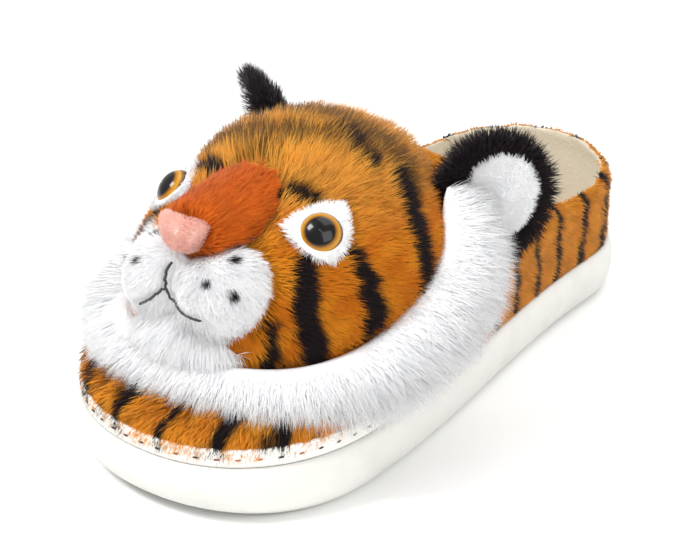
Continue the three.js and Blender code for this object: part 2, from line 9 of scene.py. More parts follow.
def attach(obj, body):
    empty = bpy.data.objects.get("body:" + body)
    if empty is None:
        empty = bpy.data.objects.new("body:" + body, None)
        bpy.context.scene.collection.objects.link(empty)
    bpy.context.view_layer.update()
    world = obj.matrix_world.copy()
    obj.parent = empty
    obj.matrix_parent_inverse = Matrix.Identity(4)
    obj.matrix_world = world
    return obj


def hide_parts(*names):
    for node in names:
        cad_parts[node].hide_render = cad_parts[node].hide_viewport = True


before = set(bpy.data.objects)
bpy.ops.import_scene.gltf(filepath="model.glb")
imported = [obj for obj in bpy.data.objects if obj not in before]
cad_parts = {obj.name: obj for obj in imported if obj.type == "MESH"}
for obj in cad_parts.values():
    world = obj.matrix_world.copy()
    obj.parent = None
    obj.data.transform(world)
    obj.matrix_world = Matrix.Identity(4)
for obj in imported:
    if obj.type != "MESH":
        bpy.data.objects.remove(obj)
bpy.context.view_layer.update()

# Sole.
# One injection-moulded cup of white EVA foam. Its side is smooth with a faint satin, and its edges are
# rounded where the two halves of the mould meet.
MM = 0.001
SOLE_LENGTH, BALL_WIDTH, HEEL_WIDTH, TOE_DEPTH = 280, 122, 94, 61
TOE_SWING, ARCH_NIP, TOE_SQUARENESS, SIDE_FULLNESS = 4, 1.5, 2.1, 1.15
SOLE_HEIGHT, CUP_FLOOR, RIM_WALL, EDGE_ROUND = 21, 12, 3.2, 5
TOE_SPRING, HEEL_BEVEL, TREAD_DEPTH = 4, 2, 0.9
TOE_CENTRE = TOE_DEPTH - SOLE_LENGTH / 2
HEEL_CENTRE = (SOLE_LENGTH - HEEL_WIDTH) / 2
TOE_POINTS, SIDE_POINTS, HEEL_POINTS = 72, 40, 48


def linear(hex_colour):
    """The sRGB hex colour as linear RGBA."""
    parts = [int(hex_colour[i : i + 2], 16) / 255 for i in (1, 3, 5)]
    return tuple(c / 12.92 if c <= 0.04045 else ((c + 0.055) / 1.055) ** 2.4 for c in parts) + (1.0,)


def add_node(tree, kind, inputs=(), feeds=None, stops=(), **settings):
    """Adds a node with its properties, a ramp's stops and its inputs, each a value or a socket to link.
    Its first output goes to the socket it feeds."""
    node = tree.nodes.new(kind)
    for key, value in settings.items():
        setattr(node, key, value)
    for k, (at, colour) in enumerate(stops):
        elements = node.color_ramp.elements
        element = elements[k] if k < 2 else elements.new(at)
        element.position, element.color = at, linear(colour)
    for key, value in dict(inputs).items():
        if isinstance(value, bpy.types.NodeSocket):
            tree.links.new(value, node.inputs[key])
        else:
            node.inputs[key].default_value = value
    if feeds is not None:
        tree.links.new(node.outputs[0], feeds)
    return node


def new_material(name, colour, roughness, **inputs):
    """A material with a principled shader. Returns it with its tree and shader."""
    material = bpy.data.materials.new(name)
    material.use_nodes = True
    tree = material.node_tree
    shader = tree.nodes["Principled BSDF"]
    shader.inputs["Base Color"].default_value = linear(colour)
    shader.inputs["Roughness"].default_value = roughness
    for key, value in inputs.items():
        shader.inputs[key.replace("_", " ")].default_value = value
    return material, tree, shader


def placed(name, data):
    """A new object in the scene."""
    made = bpy.data.objects.new(name, data)
    bpy.context.scene.collection.objects.link(made)
    return made


def mesh_object(name, verts, edges, faces):
    """A new object from points in millimetres."""
    mesh = bpy.data.meshes.new(name)
    mesh.from_pydata([tuple(v) for v in np.asarray(verts) * MM], edges, faces)
    return placed(name, mesh)


def mesh_piece(name, verts, faces, material):
    """A new smooth piece of one material."""
    piece = mesh_object(name, verts, [], faces)
    piece.data.polygons.foreach_set("use_smooth", [True] * len(faces))
    piece.data.materials.append(material)
    piece.data.update()
    return piece


def loft_faces(rings, count, closed=True):
    """Quads between rings of equally many points."""
    faces = []
    for k in range(rings - 1):
        for i in range(count if closed else count - 1):
            j = (i + 1) % count
            faces.append((k * count + i, k * count + j, (k + 1) * count + j, (k + 1) * count + i))
    return faces


def sole_plan():
    """Edge points of the sole in plan, with the middle line's Y and the outward direction of each."""
    turn = np.linspace(-np.pi / 2, np.pi / 2, TOE_POINTS + 1)[:-1]
    power = 2 / TOE_SQUARENESS
    ahead = np.abs(np.cos(turn)) ** power
    x = [BALL_WIDTH / 2 * np.sign(turn) * np.abs(np.sin(turn)) ** power + TOE_SWING * ahead**2]
    y = [TOE_CENTRE - TOE_DEPTH * ahead]
    middle = [np.full(len(turn), TOE_CENTRE)]
    t = np.linspace(0, 1, SIDE_POINTS + 1)[:-1]
    for share, sign in ((t, 1), (1 - t, -1)):
        ease = np.cos(np.pi / 2 * share**SIDE_FULLNESS) ** 2
        nip = ARCH_NIP * np.sin(np.pi * share) ** 2 if sign > 0 else 0
        sx = sign * ((HEEL_WIDTH + (BALL_WIDTH - HEEL_WIDTH) * ease) / 2 - nip)
        sy = TOE_CENTRE + (HEEL_CENTRE - TOE_CENTRE) * share
        x.append(sx)
        y.append(sy)
        middle.append(sy)
        if sign > 0:
            turn = np.linspace(0, np.pi, HEEL_POINTS + 1)[:-1]
            x.append(HEEL_WIDTH / 2 * np.cos(turn))
            y.append(HEEL_CENTRE + HEEL_WIDTH / 2 * np.sin(turn))
            middle.append(np.full(len(turn), HEEL_CENTRE))
    x, y, middle = (np.concatenate(v) for v in (x, y, middle))
    dx, dy = np.roll(x, -1) - np.roll(x, 1), np.roll(y, -1) - np.roll(y, 1)
    length = np.hypot(dx, dy)
    return x, y, middle, dy / length, -dx / length


PLAN = sole_plan()


def lift(y):
    """Rise of the sole's underside by the toe spring and the heel's bevel."""
    start, bevel = -0.32 * SOLE_LENGTH, 0.41 * SOLE_LENGTH
    toe = np.clip((start - y) / (start + SOLE_LENGTH / 2), 0, 1)
    heel = np.clip((y - bevel) / (SOLE_LENGTH / 2 - bevel), 0, 1)
    return TOE_SPRING * toe**2 + HEEL_BEVEL * heel**2


def plan_ring(inset, z, reach=1.0, lifted=0.0):
    """A ring at a distance in from the sole's edge, drawn to the middle line by a reach under 1."""
    x, y, middle, out_x, out_y = PLAN
    ring_x = (x - out_x * inset) * reach
    ring_y = middle + (y - out_y * inset - middle) * reach
    return np.stack([ring_x, ring_y, z + lifted * lift(ring_y)], axis=1)


def smooth_rows(rows, count, columns=2):
    """More rows along a smooth curve through a short table, evenly spaced by its first columns."""
    rows = np.array(rows, float)
    step = np.r_[0, np.cumsum(np.linalg.norm(np.diff(rows[:, :columns], axis=0), axis=1))]
    slope = np.gradient(rows, step, axis=0)
    at = np.linspace(0, step[-1], count)
    k = np.clip(np.searchsorted(step, at, side="right") - 1, 0, len(step) - 2)
    span = (step[k + 1] - step[k])[:, None]
    t = ((at - step[k]) / span[:, 0])[:, None]
    a, b = rows[k], rows[k + 1]
    return (
        a * (2 * t**3 - 3 * t**2 + 1)
        + b * (3 * t**2 - 2 * t**3)
        + slope[k] * span * (t**3 - 2 * t**2 + t)
        + slope[k + 1] * span * (t**3 - t**2)
    )


# Inset and height of the cup's side, from the tread's edge up over the rim.
SIDE_ROWS = [
    (5, 0), (3.1, 1.05), (1.3, 2.94), (0.2, 5.88), (-0.6, 10.5), (-0.4, 15.5), (0.2, 18.9), (0.8, 20.4),
    (1.7, 21),
]

foam, tree, shader = new_material(
    "moulded_eva_foam", "#D5D4CF", 0.46,
    Subsurface_Weight=0.12, Subsurface_Scale=0.004, Specular_IOR_Level=0.4,
)
# The eye sees a fine skin grain, a slow unevenness from the mould, and faint grey handling marks.
place = add_node(tree, "ShaderNodeTexCoord").outputs["Object"]
grain = add_node(tree, "ShaderNodeTexNoise", {"Vector": place, "Scale": 1400, "Detail": 2})
swell = add_node(tree, "ShaderNodeTexNoise", {"Vector": place, "Scale": 45, "Detail": 3})
height = add_node(
    tree, "ShaderNodeMath", {0: swell.outputs["Fac"], 1: grain.outputs["Fac"]}, operation="ADD"
)
add_node(
    tree, "ShaderNodeBump", {"Height": height.outputs[0], "Strength": 0.22, "Distance": 0.0003},
    shader.inputs["Normal"],
)
marks = add_node(tree, "ShaderNodeTexNoise", {"Vector": place, "Scale": 22, "Detail": 6, "Roughness": 0.65})
add_node(
    tree, "ShaderNodeValToRGB", {"Fac": marks.outputs["Fac"]}, shader.inputs["Base Color"],
    stops=[(0.3, "#C8C7C1"), (0.55, "#D6D5D0")],
)

border = EDGE_ROUND + 1.4
rings = [plan_ring(border + 1.3, TREAD_DEPTH, reach, 1) for reach in (0.002, 0.3, 0.6, 0.85, 1)]
for inset, z in ((border + 0.3, TREAD_DEPTH), (border, 0.15), (border - 0.2, 0)):
    rings.append(plan_ring(inset, z, 1, 1))
for inset, z in smooth_rows(SIDE_ROWS, 26):
    rings.append(plan_ring(inset, z, 1, 1 - min(z / SOLE_HEIGHT, 1)))
for inset, z in ((2.6, 21), (3.1, 20.6), (RIM_WALL, 20), (RIM_WALL, CUP_FLOOR + 1)):
    rings.append(plan_ring(inset, z))
rings += [plan_ring(RIM_WALL + 1, CUP_FLOOR, reach) for reach in (1, 0.7, 0.35, 0.002)]
sole = mesh_piece("sole", np.concatenate(rings), loft_faces(len(rings), len(PLAN[0])), foam)
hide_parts("outsole")
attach(sole, "root")

# Tread.
# Rows of zigzag ribs across the sole, moulded with it and level with its border, and a long bare plaque with
# round ends under the arch.
RIB_PITCH, RIB_WIDTH, LEG_ACROSS, RIB_SAMPLE, RIB_CLEARANCE = 4.6, 1.7, 7.85, 0.3925, 2.4
PLAQUE_LENGTH, PLAQUE_WIDTH, PLAQUE_SIDES = 113, 12, 48


def inside_plan(x, y, inset):
    """True where a point lies within the sole's edge by more than the inset."""
    edge = plan_ring(inset, 0)[:, :2]
    nxt = np.roll(edge, -1, axis=0)
    crosses = (edge[:, 1] > y[:, None]) != (nxt[:, 1] > y[:, None])
    with np.errstate(divide="ignore", invalid="ignore"):
        at = edge[:, 0] + (y[:, None] - edge[:, 1]) / (nxt[:, 1] - edge[:, 1]) * (nxt[:, 0] - edge[:, 0])
    return (crosses & (x[:, None] < at)).sum(axis=1) % 2 == 1


def rib_paths():
    """Points and edges of the ribs' middle lines, ended at the border and at the plaque."""
    points, edges = [], []
    reach = BALL_WIDTH / 2 + 3
    across = np.arange(-reach, reach + 0.01, RIB_SAMPLE)
    zigzag = LEG_ACROSS * np.abs((across / LEG_ACROSS / 2) % 1 * 2 - 1)
    for row in np.arange(-SOLE_LENGTH / 2, SOLE_LENGTH / 2, RIB_PITCH):
        along = row + zigzag
        straight = (PLAQUE_LENGTH - PLAQUE_WIDTH) / 2
        from_plaque = np.hypot(across, np.maximum(np.abs(along) - straight, 0)) - PLAQUE_WIDTH / 2
        kept = inside_plan(across, along, border + RIB_CLEARANCE) & (from_plaque > RIB_CLEARANCE)
        turns = np.isclose(zigzag, 0, atol=0.05) | np.isclose(zigzag, LEG_ACROSS, atol=0.05)
        last = None
        for i in range(len(across)):
            if not kept[i]:
                last = None
                continue
            ends = not kept[i - 1] or i + 1 == len(across) or not kept[i + 1]
            if not (turns[i] or ends):
                continue
            points.append((across[i], along[i], TREAD_DEPTH / 2))
            if last is not None:
                edges.append((last, len(points) - 1))
            last = len(points) - 1
    points = np.array(points)
    points[:, 2] += lift(points[:, 1])
    return points, edges


def tree_with(name, sockets):
    """A Geometry Nodes tree with named inputs. Returns it, the sockets it is given and the one to feed."""
    made = bpy.data.node_groups.new(name, "GeometryNodeTree")
    for socket, kind in [("Geometry", "Geometry"), *sockets]:
        made.interface.new_socket(socket, in_out="INPUT", socket_type="NodeSocket" + kind)
    made.interface.new_socket("Geometry", in_out="OUTPUT", socket_type="NodeSocketGeometry")
    given, out = made.nodes.new("NodeGroupInput"), made.nodes.new("NodeGroupOutput")
    return made, given.outputs, out.inputs[0]


def grown(piece, made, values, name):
    """Runs the tree on the piece with the named values and returns the result as a plain object."""
    modifier = piece.modifiers.new("grow", "NODES")
    modifier.node_group = made
    for item in made.interface.items_tree:
        if item.in_out == "INPUT" and item.name in values:
            modifier[item.identifier] = values[item.name]
    piece.update_tag()
    depsgraph = bpy.context.evaluated_depsgraph_get()
    mesh = bpy.data.meshes.new_from_object(piece.evaluated_get(depsgraph))
    piece.modifiers.remove(modifier)
    mesh.name = name
    return placed(name, mesh)


rib_tree, given, out = tree_with(
    "zigzag_ribs", [("Width", "Float"), ("Height", "Float"), ("Material", "Material")]
)
rib_curve = add_node(rib_tree, "GeometryNodeMeshToCurve", {"Mesh": given["Geometry"]})
top_width = add_node(rib_tree, "ShaderNodeMath", {0: given["Width"], 1: 0.7}, operation="MULTIPLY")
rib_section = add_node(
    rib_tree, "GeometryNodeCurvePrimitiveQuadrilateral",
    {
        "Bottom Width": given["Width"], "Top Width": top_width.outputs[0],
        "Height": given["Height"], "Offset": 0,
    },
    mode="TRAPEZOID",
)
rib_body = add_node(
    rib_tree, "GeometryNodeCurveToMesh",
    {"Curve": rib_curve.outputs[0], "Profile Curve": rib_section.outputs[0], "Fill Caps": True},
)
add_node(
    rib_tree, "GeometryNodeSetMaterial",
    {"Geometry": rib_body.outputs[0], "Material": given["Material"]}, out,
)

source = mesh_object("rib_lines", *rib_paths(), [])
rib_sizes = {"Width": RIB_WIDTH * MM, "Height": TREAD_DEPTH * MM * 1.02, "Material": foam}
ribs = grown(source, rib_tree, rib_sizes, "tread_ribs")
bpy.data.objects.remove(source)
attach(ribs, "root")

turn = np.linspace(0, 2 * np.pi, PLAQUE_SIDES, endpoint=False)
stadium = np.stack([np.cos(turn), np.sin(turn)], axis=1) * PLAQUE_WIDTH / 2
stadium[:, 1] += np.sign(np.sin(turn) + 1e-9) * (PLAQUE_LENGTH - PLAQUE_WIDTH) / 2
plaque_rows = [(1, 1.2), (1, 0.25), (0.985, 0), (0.5, 0), (0.001, 0)]
plaque_rings = [np.c_[stadium * shrink, np.full(PLAQUE_SIDES, z)] for shrink, z in plaque_rows]
plaque_faces = [f[::-1] for f in loft_faces(len(plaque_rows), PLAQUE_SIDES)]
plaque = mesh_piece("plaque", np.concatenate(plaque_rings), plaque_faces, foam)
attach(plaque, "root")

# Insole.
# A foam pad under short cream fleece, cut to the cup and pressed in inside the shell. It is a little
# hollowed under the heel.
INSOLE_INSET, PAD_TOP, HEEL_HOLLOW = 6.8, 18.3, 0.8

fleece, tree, shader = new_material("cream_fleece", "#EFE9DC", 0.95, Sheen_Weight=0.3, Sheen_Roughness=0.5)
# The eye sees small curls, with painted shade darker between them, and no gloss.
place = add_node(tree, "ShaderNodeTexCoord").outputs["Object"]
curls = add_node(tree, "ShaderNodeTexNoise", {"Vector": place, "Scale": 420, "Detail": 4, "Roughness": 0.7})
curls = curls.outputs["Fac"]
add_node(
    tree, "ShaderNodeBump", {"Height": curls, "Strength": 0.8, "Distance": 0.0012}, shader.inputs["Normal"]
)
# Painted shade: the ramp darkens the fleece where the curls' bump is low, between them.
add_node(
    tree, "ShaderNodeValToRGB", {"Fac": curls}, shader.inputs["Base Color"],
    stops=[(0.35, "#C9C0AE"), (0.6, "#EFE9DC")],
)

# Inset, height and reach of the pad's rings, from the middle of its underside over its rounded edge.
PAD_ROWS = [(0, 12.3, 0.002), (0, 12.3, 1), (0, 16.2, 1), (0.5, 17.4, 1), (1.6, 18.1, 1), (3, PAD_TOP, 1)]
pad_rings = [plan_ring(INSOLE_INSET + inset, z, reach) for inset, z, reach in PAD_ROWS]
for reach in (0.92, 0.8, 0.6, 0.4, 0.2, 0.002):
    ring = plan_ring(INSOLE_INSET + 3, PAD_TOP, reach)
    ring[:, 2] -= HEEL_HOLLOW * (1 - reach) * np.exp(-(((ring[:, 1] - 85) / 45) ** 2))
    pad_rings.append(ring)
pad_faces = loft_faces(len(pad_rings), len(PLAN[0]))
insole = mesh_piece("insole_pad", np.concatenate(pad_rings), pad_faces, fleece)
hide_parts("insole")
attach(insole, "root")

# Toe strip.
# A band of white cloth laid against the shell on the sole's rim and sewn through. Small dark stitches show
# about 7 mm apart, and the cloth puckers a little between them.
STITCH_PITCH, PUCKER_DEPTH, STRIP_SAMPLES, STRIP_PAST_BALL = 7.1, 0.35, 241, 4
cloth, tree, shader = new_material("woven_white_cloth", "#DDDBD6", 0.85, Sheen_Weight=0.2)
# The eye sees a fine plain weave, drawn at 0.9 mm because the real thread of 0.4 mm is too fine to show.
place = add_node(tree, "ShaderNodeTexCoord").outputs["Object"]
warp, weft = (
    add_node(
        tree, "ShaderNodeTexWave", {"Vector": place, "Scale": 350, "Distortion": 0.6}, bands_direction=way
    )
    for way in ("X", "Z")
)
weave = add_node(tree, "ShaderNodeMath", {0: warp.outputs["Fac"], 1: weft.outputs["Fac"]}, operation="ADD")
add_node(
    tree, "ShaderNodeBump", {"Height": weave.outputs[0], "Strength": 0.35, "Distance": 0.0002},
    shader.inputs["Normal"],
)


def strip_path(inset, z):
    """Points round the toe from the right side to the left, with the distance along."""
    ring = plan_ring(inset, z)
    part = np.concatenate([ring[-STRIP_PAST_BALL:], ring[: TOE_POINTS + STRIP_PAST_BALL + 1]])
    along = np.r_[0, np.cumsum(np.linalg.norm(np.diff(part, axis=0), axis=1))]
    fine = np.linspace(0, along[-1], STRIP_SAMPLES)
    return np.stack([np.interp(fine, along, part[:, k]) for k in range(3)], axis=1), fine


# Inset and height round the band's section.
STRIP_SECTION = [
    (3.2, 21.3), (3.2, 27.2), (2.9, 27.7), (2.45, 27.8), (2.0, 27.6), (1.75, 27.1), (1.62, 25.8),
    (1.5, 24.4), (1.55, 22.8), (1.7, 21.8), (2.0, 21.3),
]
_, strip_along = strip_path(*STRIP_SECTION[0])
pucker = 0.5 + 0.5 * np.cos(2 * np.pi * strip_along / STITCH_PITCH)
strip_rings = []
for inset, z in STRIP_SECTION:
    path, _ = strip_path(inset, z)
    inner, _ = strip_path(inset + 1, z)
    strand_shade = PUCKER_DEPTH * pucker * np.exp(-(((z - 24.4) / 2) ** 2)) * (inset < 2)
    path += (inner - path) * strand_shade[:, None]
    path[:, 2] += 0.25 * (1 - pucker) * (z > 26)
    strip_rings.append(path)
strip_verts = np.stack(strip_rings, axis=1).reshape(-1, 3)
count = len(STRIP_SECTION)
strip_faces = [f[::-1] for f in loft_faces(STRIP_SAMPLES, count)]
last_ring = range((STRIP_SAMPLES - 1) * count, STRIP_SAMPLES * count)
strip_faces += [tuple(range(count)), tuple(reversed(last_ring))]
strip = mesh_piece("toe_band", strip_verts, strip_faces, cloth)
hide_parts("toe_strip")
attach(strip, "root")

thread, tree, shader = new_material("brown_thread", "#5A3A24", 0.6)
# The eye sees short dark ends of twisted thread, some of them nearer to orange.
place = add_node(tree, "ShaderNodeTexCoord").outputs["Object"]
tone = add_node(tree, "ShaderNodeTexNoise", {"Vector": place, "Scale": 90, "Detail": 0})
add_node(
    tree, "ShaderNodeValToRGB", {"Fac": tone.outputs["Fac"]}, shader.inputs["Base Color"],
    stops=[(0.45, "#35261F"), (0.62, "#A8642E")],
)

stitch_tree, given, out = tree_with(
    "stitches", [("Pitch", "Float"), ("Size", "Vector"), ("Material", "Material")]
)
stitch_curve = add_node(stitch_tree, "GeometryNodeMeshToCurve", {"Mesh": given["Geometry"]})
stitch_even = add_node(
    stitch_tree, "GeometryNodeResampleCurve",
    {"Curve": stitch_curve.outputs[0], "Length": given["Pitch"]}, mode="LENGTH",
)
tangent = add_node(stitch_tree, "GeometryNodeInputTangent").outputs[0]
stitch_turn = add_node(stitch_tree, "FunctionNodeAlignRotationToVector", {"Vector": tangent}, axis="X")
stitch_bead = add_node(stitch_tree, "GeometryNodeMeshUVSphere", {"Segments": 8, "Rings": 5, "Radius": 1.0})
stitch_set = add_node(
    stitch_tree, "GeometryNodeInstanceOnPoints",
    {
        "Points": stitch_even.outputs[0], "Instance": stitch_bead.outputs["Mesh"],
        "Rotation": stitch_turn.outputs[0], "Scale": given["Size"],
    },
)
stitch_real = add_node(stitch_tree, "GeometryNodeRealizeInstances", {"Geometry": stitch_set.outputs[0]})
add_node(
    stitch_tree, "GeometryNodeSetMaterial",
    {"Geometry": stitch_real.outputs[0], "Material": given["Material"]}, out,
)

seam = strip_path(1.75, 24.3)[0][8:-8]
source = mesh_object("stitch_line", seam, [(i, i + 1) for i in range(len(seam) - 1)], [])
stitch_sizes = {"Pitch": STITCH_PITCH * MM, "Size": (1.2 * MM, 0.4 * MM, 0.42 * MM), "Material": thread}
stitches = grown(source, stitch_tree, stitch_sizes, "strip_stitches")
bpy.data.objects.remove(source)
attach(stitches, "root")

# Upper.
# A shell of knitted-back faux fur, orange with black stripes, its pile about 5 mm long on the sides and 8 mm
# on the toe. It is lined with short cream fleece and turned in at the collar, and its foot is glued down
# inside the cup's rim.
BLACK, ORANGE, DEEP_ORANGE, PALE_ORANGE = "#241A1C", "#EFA024", "#D6750E", "#FBC45A"


def solid_tree(*nodes):
    """Search trees of the CAD solids."""
    trees = []
    for node in nodes:
        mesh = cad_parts[node].data
        verts = [v.co for v in mesh.vertices]
        trees.append(BVHTree.FromPolygons(verts, [tuple(p.vertices) for p in mesh.polygons]))
    return trees


def in_solid(point, tree_of_solid):
    """True where a ray from the point leaves the solid once more than it enters."""
    crossings, way = 0, Vector((0.31, 0.17, 0.93)).normalized()
    while True:
        spot, _, _, _ = tree_of_solid.ray_cast(point, way)
        if spot is None:
            return crossings % 2 == 1
        crossings += 1
        point = spot + way * 1e-6


def covered(points, trees, margin):
    """True where a point in metres lies in one of the solids or nearer to it than the margin."""
    hidden = np.zeros(len(points), bool)
    for tree_of_solid in trees:
        for i, p in enumerate(points):
            if hidden[i]:
                continue
            point = Vector(p)
            spot, normal, _, distance = tree_of_solid.find_nearest(point)
            near = distance < margin * MM
            hidden[i] = near or ((point - spot).dot(normal) < 0 and in_solid(point, tree_of_solid))
    return hidden


def mesh_points(mesh):
    """Points of a mesh in metres."""
    points = np.empty(len(mesh.vertices) * 3, np.float32)
    mesh.vertices.foreach_get("co", points)
    return points.reshape(-1, 3).astype(float)


def mesh_normals(mesh):
    """Directions out of a mesh at its points."""
    return np.array([n.vector[:] for n in mesh.vertex_normals])


def skin_surface(skin):
    """Points in millimetres and directions out of a skin."""
    return mesh_points(skin.data) / MM, mesh_normals(skin.data)


def open_cover(points, normals, above, nodes, margin):
    """1 where pile can grow, 0 where a point that far above the skin lies in a CAD solid or by it."""
    return (~covered((points + above * normals) * MM, solid_tree(*nodes), margin)).astype(float)


def even_skin(node, name, voxel, rounds, material, shrink=0.0):
    """An even, smoothed copy of a soft CAD solid."""
    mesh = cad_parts[node].data.copy()
    mesh.name = name
    mesh.materials.clear()
    skin = placed(name, mesh)
    weld = skin.modifiers.new("weld", "WELD")
    weld.merge_threshold = 1e-5
    even = skin.modifiers.new("even", "REMESH")
    even.mode = "VOXEL"
    even.voxel_size = voxel * MM
    smooth = skin.modifiers.new("smooth", "SMOOTH")
    smooth.iterations = rounds
    smooth.factor = 0.5
    inward = skin.modifiers.new("inward", "DISPLACE")
    inward.mid_level = 0
    inward.strength = -shrink * MM
    depsgraph = bpy.context.evaluated_depsgraph_get()
    skin.data = bpy.data.meshes.new_from_object(skin.evaluated_get(depsgraph))
    skin.data.name = name
    skin.modifiers.clear()
    skin.data.materials.clear()
    skin.data.materials.append(material)
    skin.data.polygons.foreach_set("use_smooth", [True] * len(skin.data.polygons))
    return skin


def set_values(mesh, name, kind, values):
    """Stores one value a point under a name."""
    layer = mesh.attributes.get(name) or mesh.attributes.new(name, kind, "POINT")
    key = {"FLOAT": "value", "FLOAT_VECTOR": "vector", "FLOAT_COLOR": "color"}[kind]
    layer.data.foreach_set(key, np.ascontiguousarray(values, np.float32).ravel())


def get_values(mesh, name, width, key):
    """The values stored under a name, one row a point."""
    values = np.empty(len(mesh.vertices) * width, np.float32)
    mesh.attributes[name].data.foreach_get(key, values)
    return values.reshape(-1, width).astype(float)


plush, tree, shader = new_material(
    "faux_fur_pile", "#FFFFFF", 0.85, Sheen_Weight=0.22, Sheen_Roughness=0.4, Specular_IOR_Level=0.25
)
# The eye sees the dyed colour from the stored tint, some light through the strands, and no gloss.
tint = add_node(tree, "ShaderNodeAttribute", attribute_name="tint").outputs["Color"]
tree.links.new(tint, shader.inputs["Base Color"])
through = add_node(tree, "ShaderNodeBsdfTranslucent", {"Color": tint})
add_node(
    tree, "ShaderNodeMixShader", {0: 0.45, 1: shader.outputs[0], 2: through.outputs[0]},
    tree.nodes["Material Output"].inputs["Surface"],
)

backing, tree, shader = new_material("faux_fur_backing", "#FFFFFF", 0.95, Specular_IOR_Level=0.1)
# The pile's foot and knitted back under the strands, given painted shade so they are dark between tufts,
# with a soft uneven nap.
tint = add_node(tree, "ShaderNodeAttribute", attribute_name="tint").outputs["Color"]
tree.links.new(tint, shader.inputs["Base Color"])
place = add_node(tree, "ShaderNodeTexCoord").outputs["Object"]
nap = add_node(tree, "ShaderNodeTexNoise", {"Vector": place, "Scale": 650, "Detail": 3, "Roughness": 0.7})
add_node(
    tree, "ShaderNodeBump", {"Height": nap.outputs["Fac"], "Strength": 0.7, "Distance": 0.001},
    shader.inputs["Normal"],
)

# One strand: two faces high, tapered, curved back at its tip.
strand_mesh = bpy.data.meshes.new("strand")
strand_points = [(-0.5, 0, 0), (0.5, 0, 0), (-0.36, -0.05, 0.55), (0.36, -0.05, 0.55), (0, -0.22, 1)]
strand_mesh.from_pydata(strand_points, [], [(0, 2, 3, 1), (2, 4, 3)])
strand_along = strand_mesh.attributes.new("along", "FLOAT", "POINT")
strand_along.data.foreach_set("value", [z for _, _, z in strand_points])
strand = placed("strand", strand_mesh)

fur_tree, given, out = tree_with(
    "fur",
    [
        ("Strand", "Object"), ("Density", "Float"), ("Width", "Float"), ("Tuft", "Float"),
        ("Tuft Scale", "Float"), ("Seed", "Int"), ("Material", "Material"),
    ],
)
stored = {
    name: add_node(
        fur_tree, "GeometryNodeInputNamedAttribute", {"Name": name}, data_type=kind
    ).outputs[0]
    for name, kind in (
        ("cover", "FLOAT"), ("length", "FLOAT"), ("comb", "FLOAT_VECTOR"), ("nap", "FLOAT_VECTOR")
    )
}
# Each strand keeps its root, the skin's direction there and three chances, which colour it later.
fur_density = add_node(
    fur_tree, "ShaderNodeMath", {0: given["Density"], 1: stored["cover"]}, operation="MULTIPLY"
)
fur_points = add_node(
    fur_tree, "GeometryNodeDistributePointsOnFaces",
    {"Mesh": given["Geometry"], "Density": fur_density.outputs[0], "Seed": given["Seed"]},
)
position = add_node(fur_tree, "GeometryNodeInputPosition").outputs[0]
chance = add_node(
    fur_tree, "FunctionNodeRandomValue", {"Seed": given["Seed"], "Min": (0, 0, 0), "Max": (1, 1, 1)},
    data_type="FLOAT_VECTOR",
)
marks = {"root": position, "nap": fur_points.outputs["Normal"], "chance": chance.outputs[0]}
fur_marked = fur_points.outputs["Points"]
for mark, value in marks.items():
    marking = add_node(
        fur_tree, "GeometryNodeStoreNamedAttribute", {"Geometry": fur_marked, "Value": value, "Name": mark},
        data_type="FLOAT_VECTOR", domain="POINT",
    )
    fur_marked = marking.outputs[0]
# It lies by the comb, drawn together in tufts by slow noise, with a small stray of its own.
tuft_noise = add_node(
    fur_tree, "ShaderNodeTexNoise",
    {"Vector": position, "Scale": given["Tuft Scale"], "Detail": 2, "Roughness": 0.6},
)
tuft_centred = add_node(
    fur_tree, "ShaderNodeVectorMath", {0: tuft_noise.outputs["Color"], 1: (0.5, 0.5, 0.5)},
    operation="SUBTRACT",
)
tuft_scaled = add_node(
    fur_tree, "ShaderNodeVectorMath", {0: tuft_centred.outputs[0], "Scale": given["Tuft"]},
    operation="SCALE",
)
stray = add_node(
    fur_tree, "FunctionNodeRandomValue",
    {"Seed": given["Seed"], "Min": (-0.16, -0.16, -0.16), "Max": (0.16, 0.16, 0.16)},
    data_type="FLOAT_VECTOR",
)
lay = stored["comb"]
for bend in (tuft_scaled, stray):
    lay = add_node(
        fur_tree, "ShaderNodeVectorMath", {0: lay, 1: bend.outputs[0]}, operation="ADD"
    ).outputs[0]
fur_turn = add_node(
    fur_tree, "FunctionNodeAxesToRotation", {"Primary Axis": lay, "Secondary Axis": stored["nap"]},
    primary_axis="Z", secondary_axis="Y",
)
roll = add_node(
    fur_tree, "FunctionNodeRandomValue", {"Min": (0, 0, -0.9), "Max": (0, 0, 0.9), "Seed": 5},
    data_type="FLOAT_VECTOR",
)
roll_turn = add_node(fur_tree, "FunctionNodeEulerToRotation", {0: roll.outputs[0]})
fur_rolled = add_node(
    fur_tree, "FunctionNodeRotateRotation", {0: fur_turn.outputs[0], 1: roll_turn.outputs[0]},
    rotation_space="LOCAL",
)
varied = add_node(fur_tree, "FunctionNodeRandomValue", {2: 0.62, 3: 1.08, "Seed": 9}, data_type="FLOAT")
fur_length = add_node(
    fur_tree, "ShaderNodeMath", {0: stored["length"], 1: varied.outputs[1]}, operation="MULTIPLY"
).outputs[0]
fur_size = add_node(
    fur_tree, "ShaderNodeCombineXYZ", {"X": given["Width"], "Y": fur_length, "Z": fur_length}
)
strand_shape = add_node(fur_tree, "GeometryNodeObjectInfo", {"Object": given["Strand"]})
fur_set = add_node(
    fur_tree, "GeometryNodeInstanceOnPoints",
    {
        "Points": fur_marked, "Instance": strand_shape.outputs["Geometry"],
        "Rotation": fur_rolled.outputs[0], "Scale": fur_size.outputs[0],
    },
)
fur_real = add_node(fur_tree, "GeometryNodeRealizeInstances", {"Geometry": fur_set.outputs[0]})
add_node(
    fur_tree, "GeometryNodeSetMaterial",
    {"Geometry": fur_real.outputs[0], "Material": given["Material"]}, out,
)


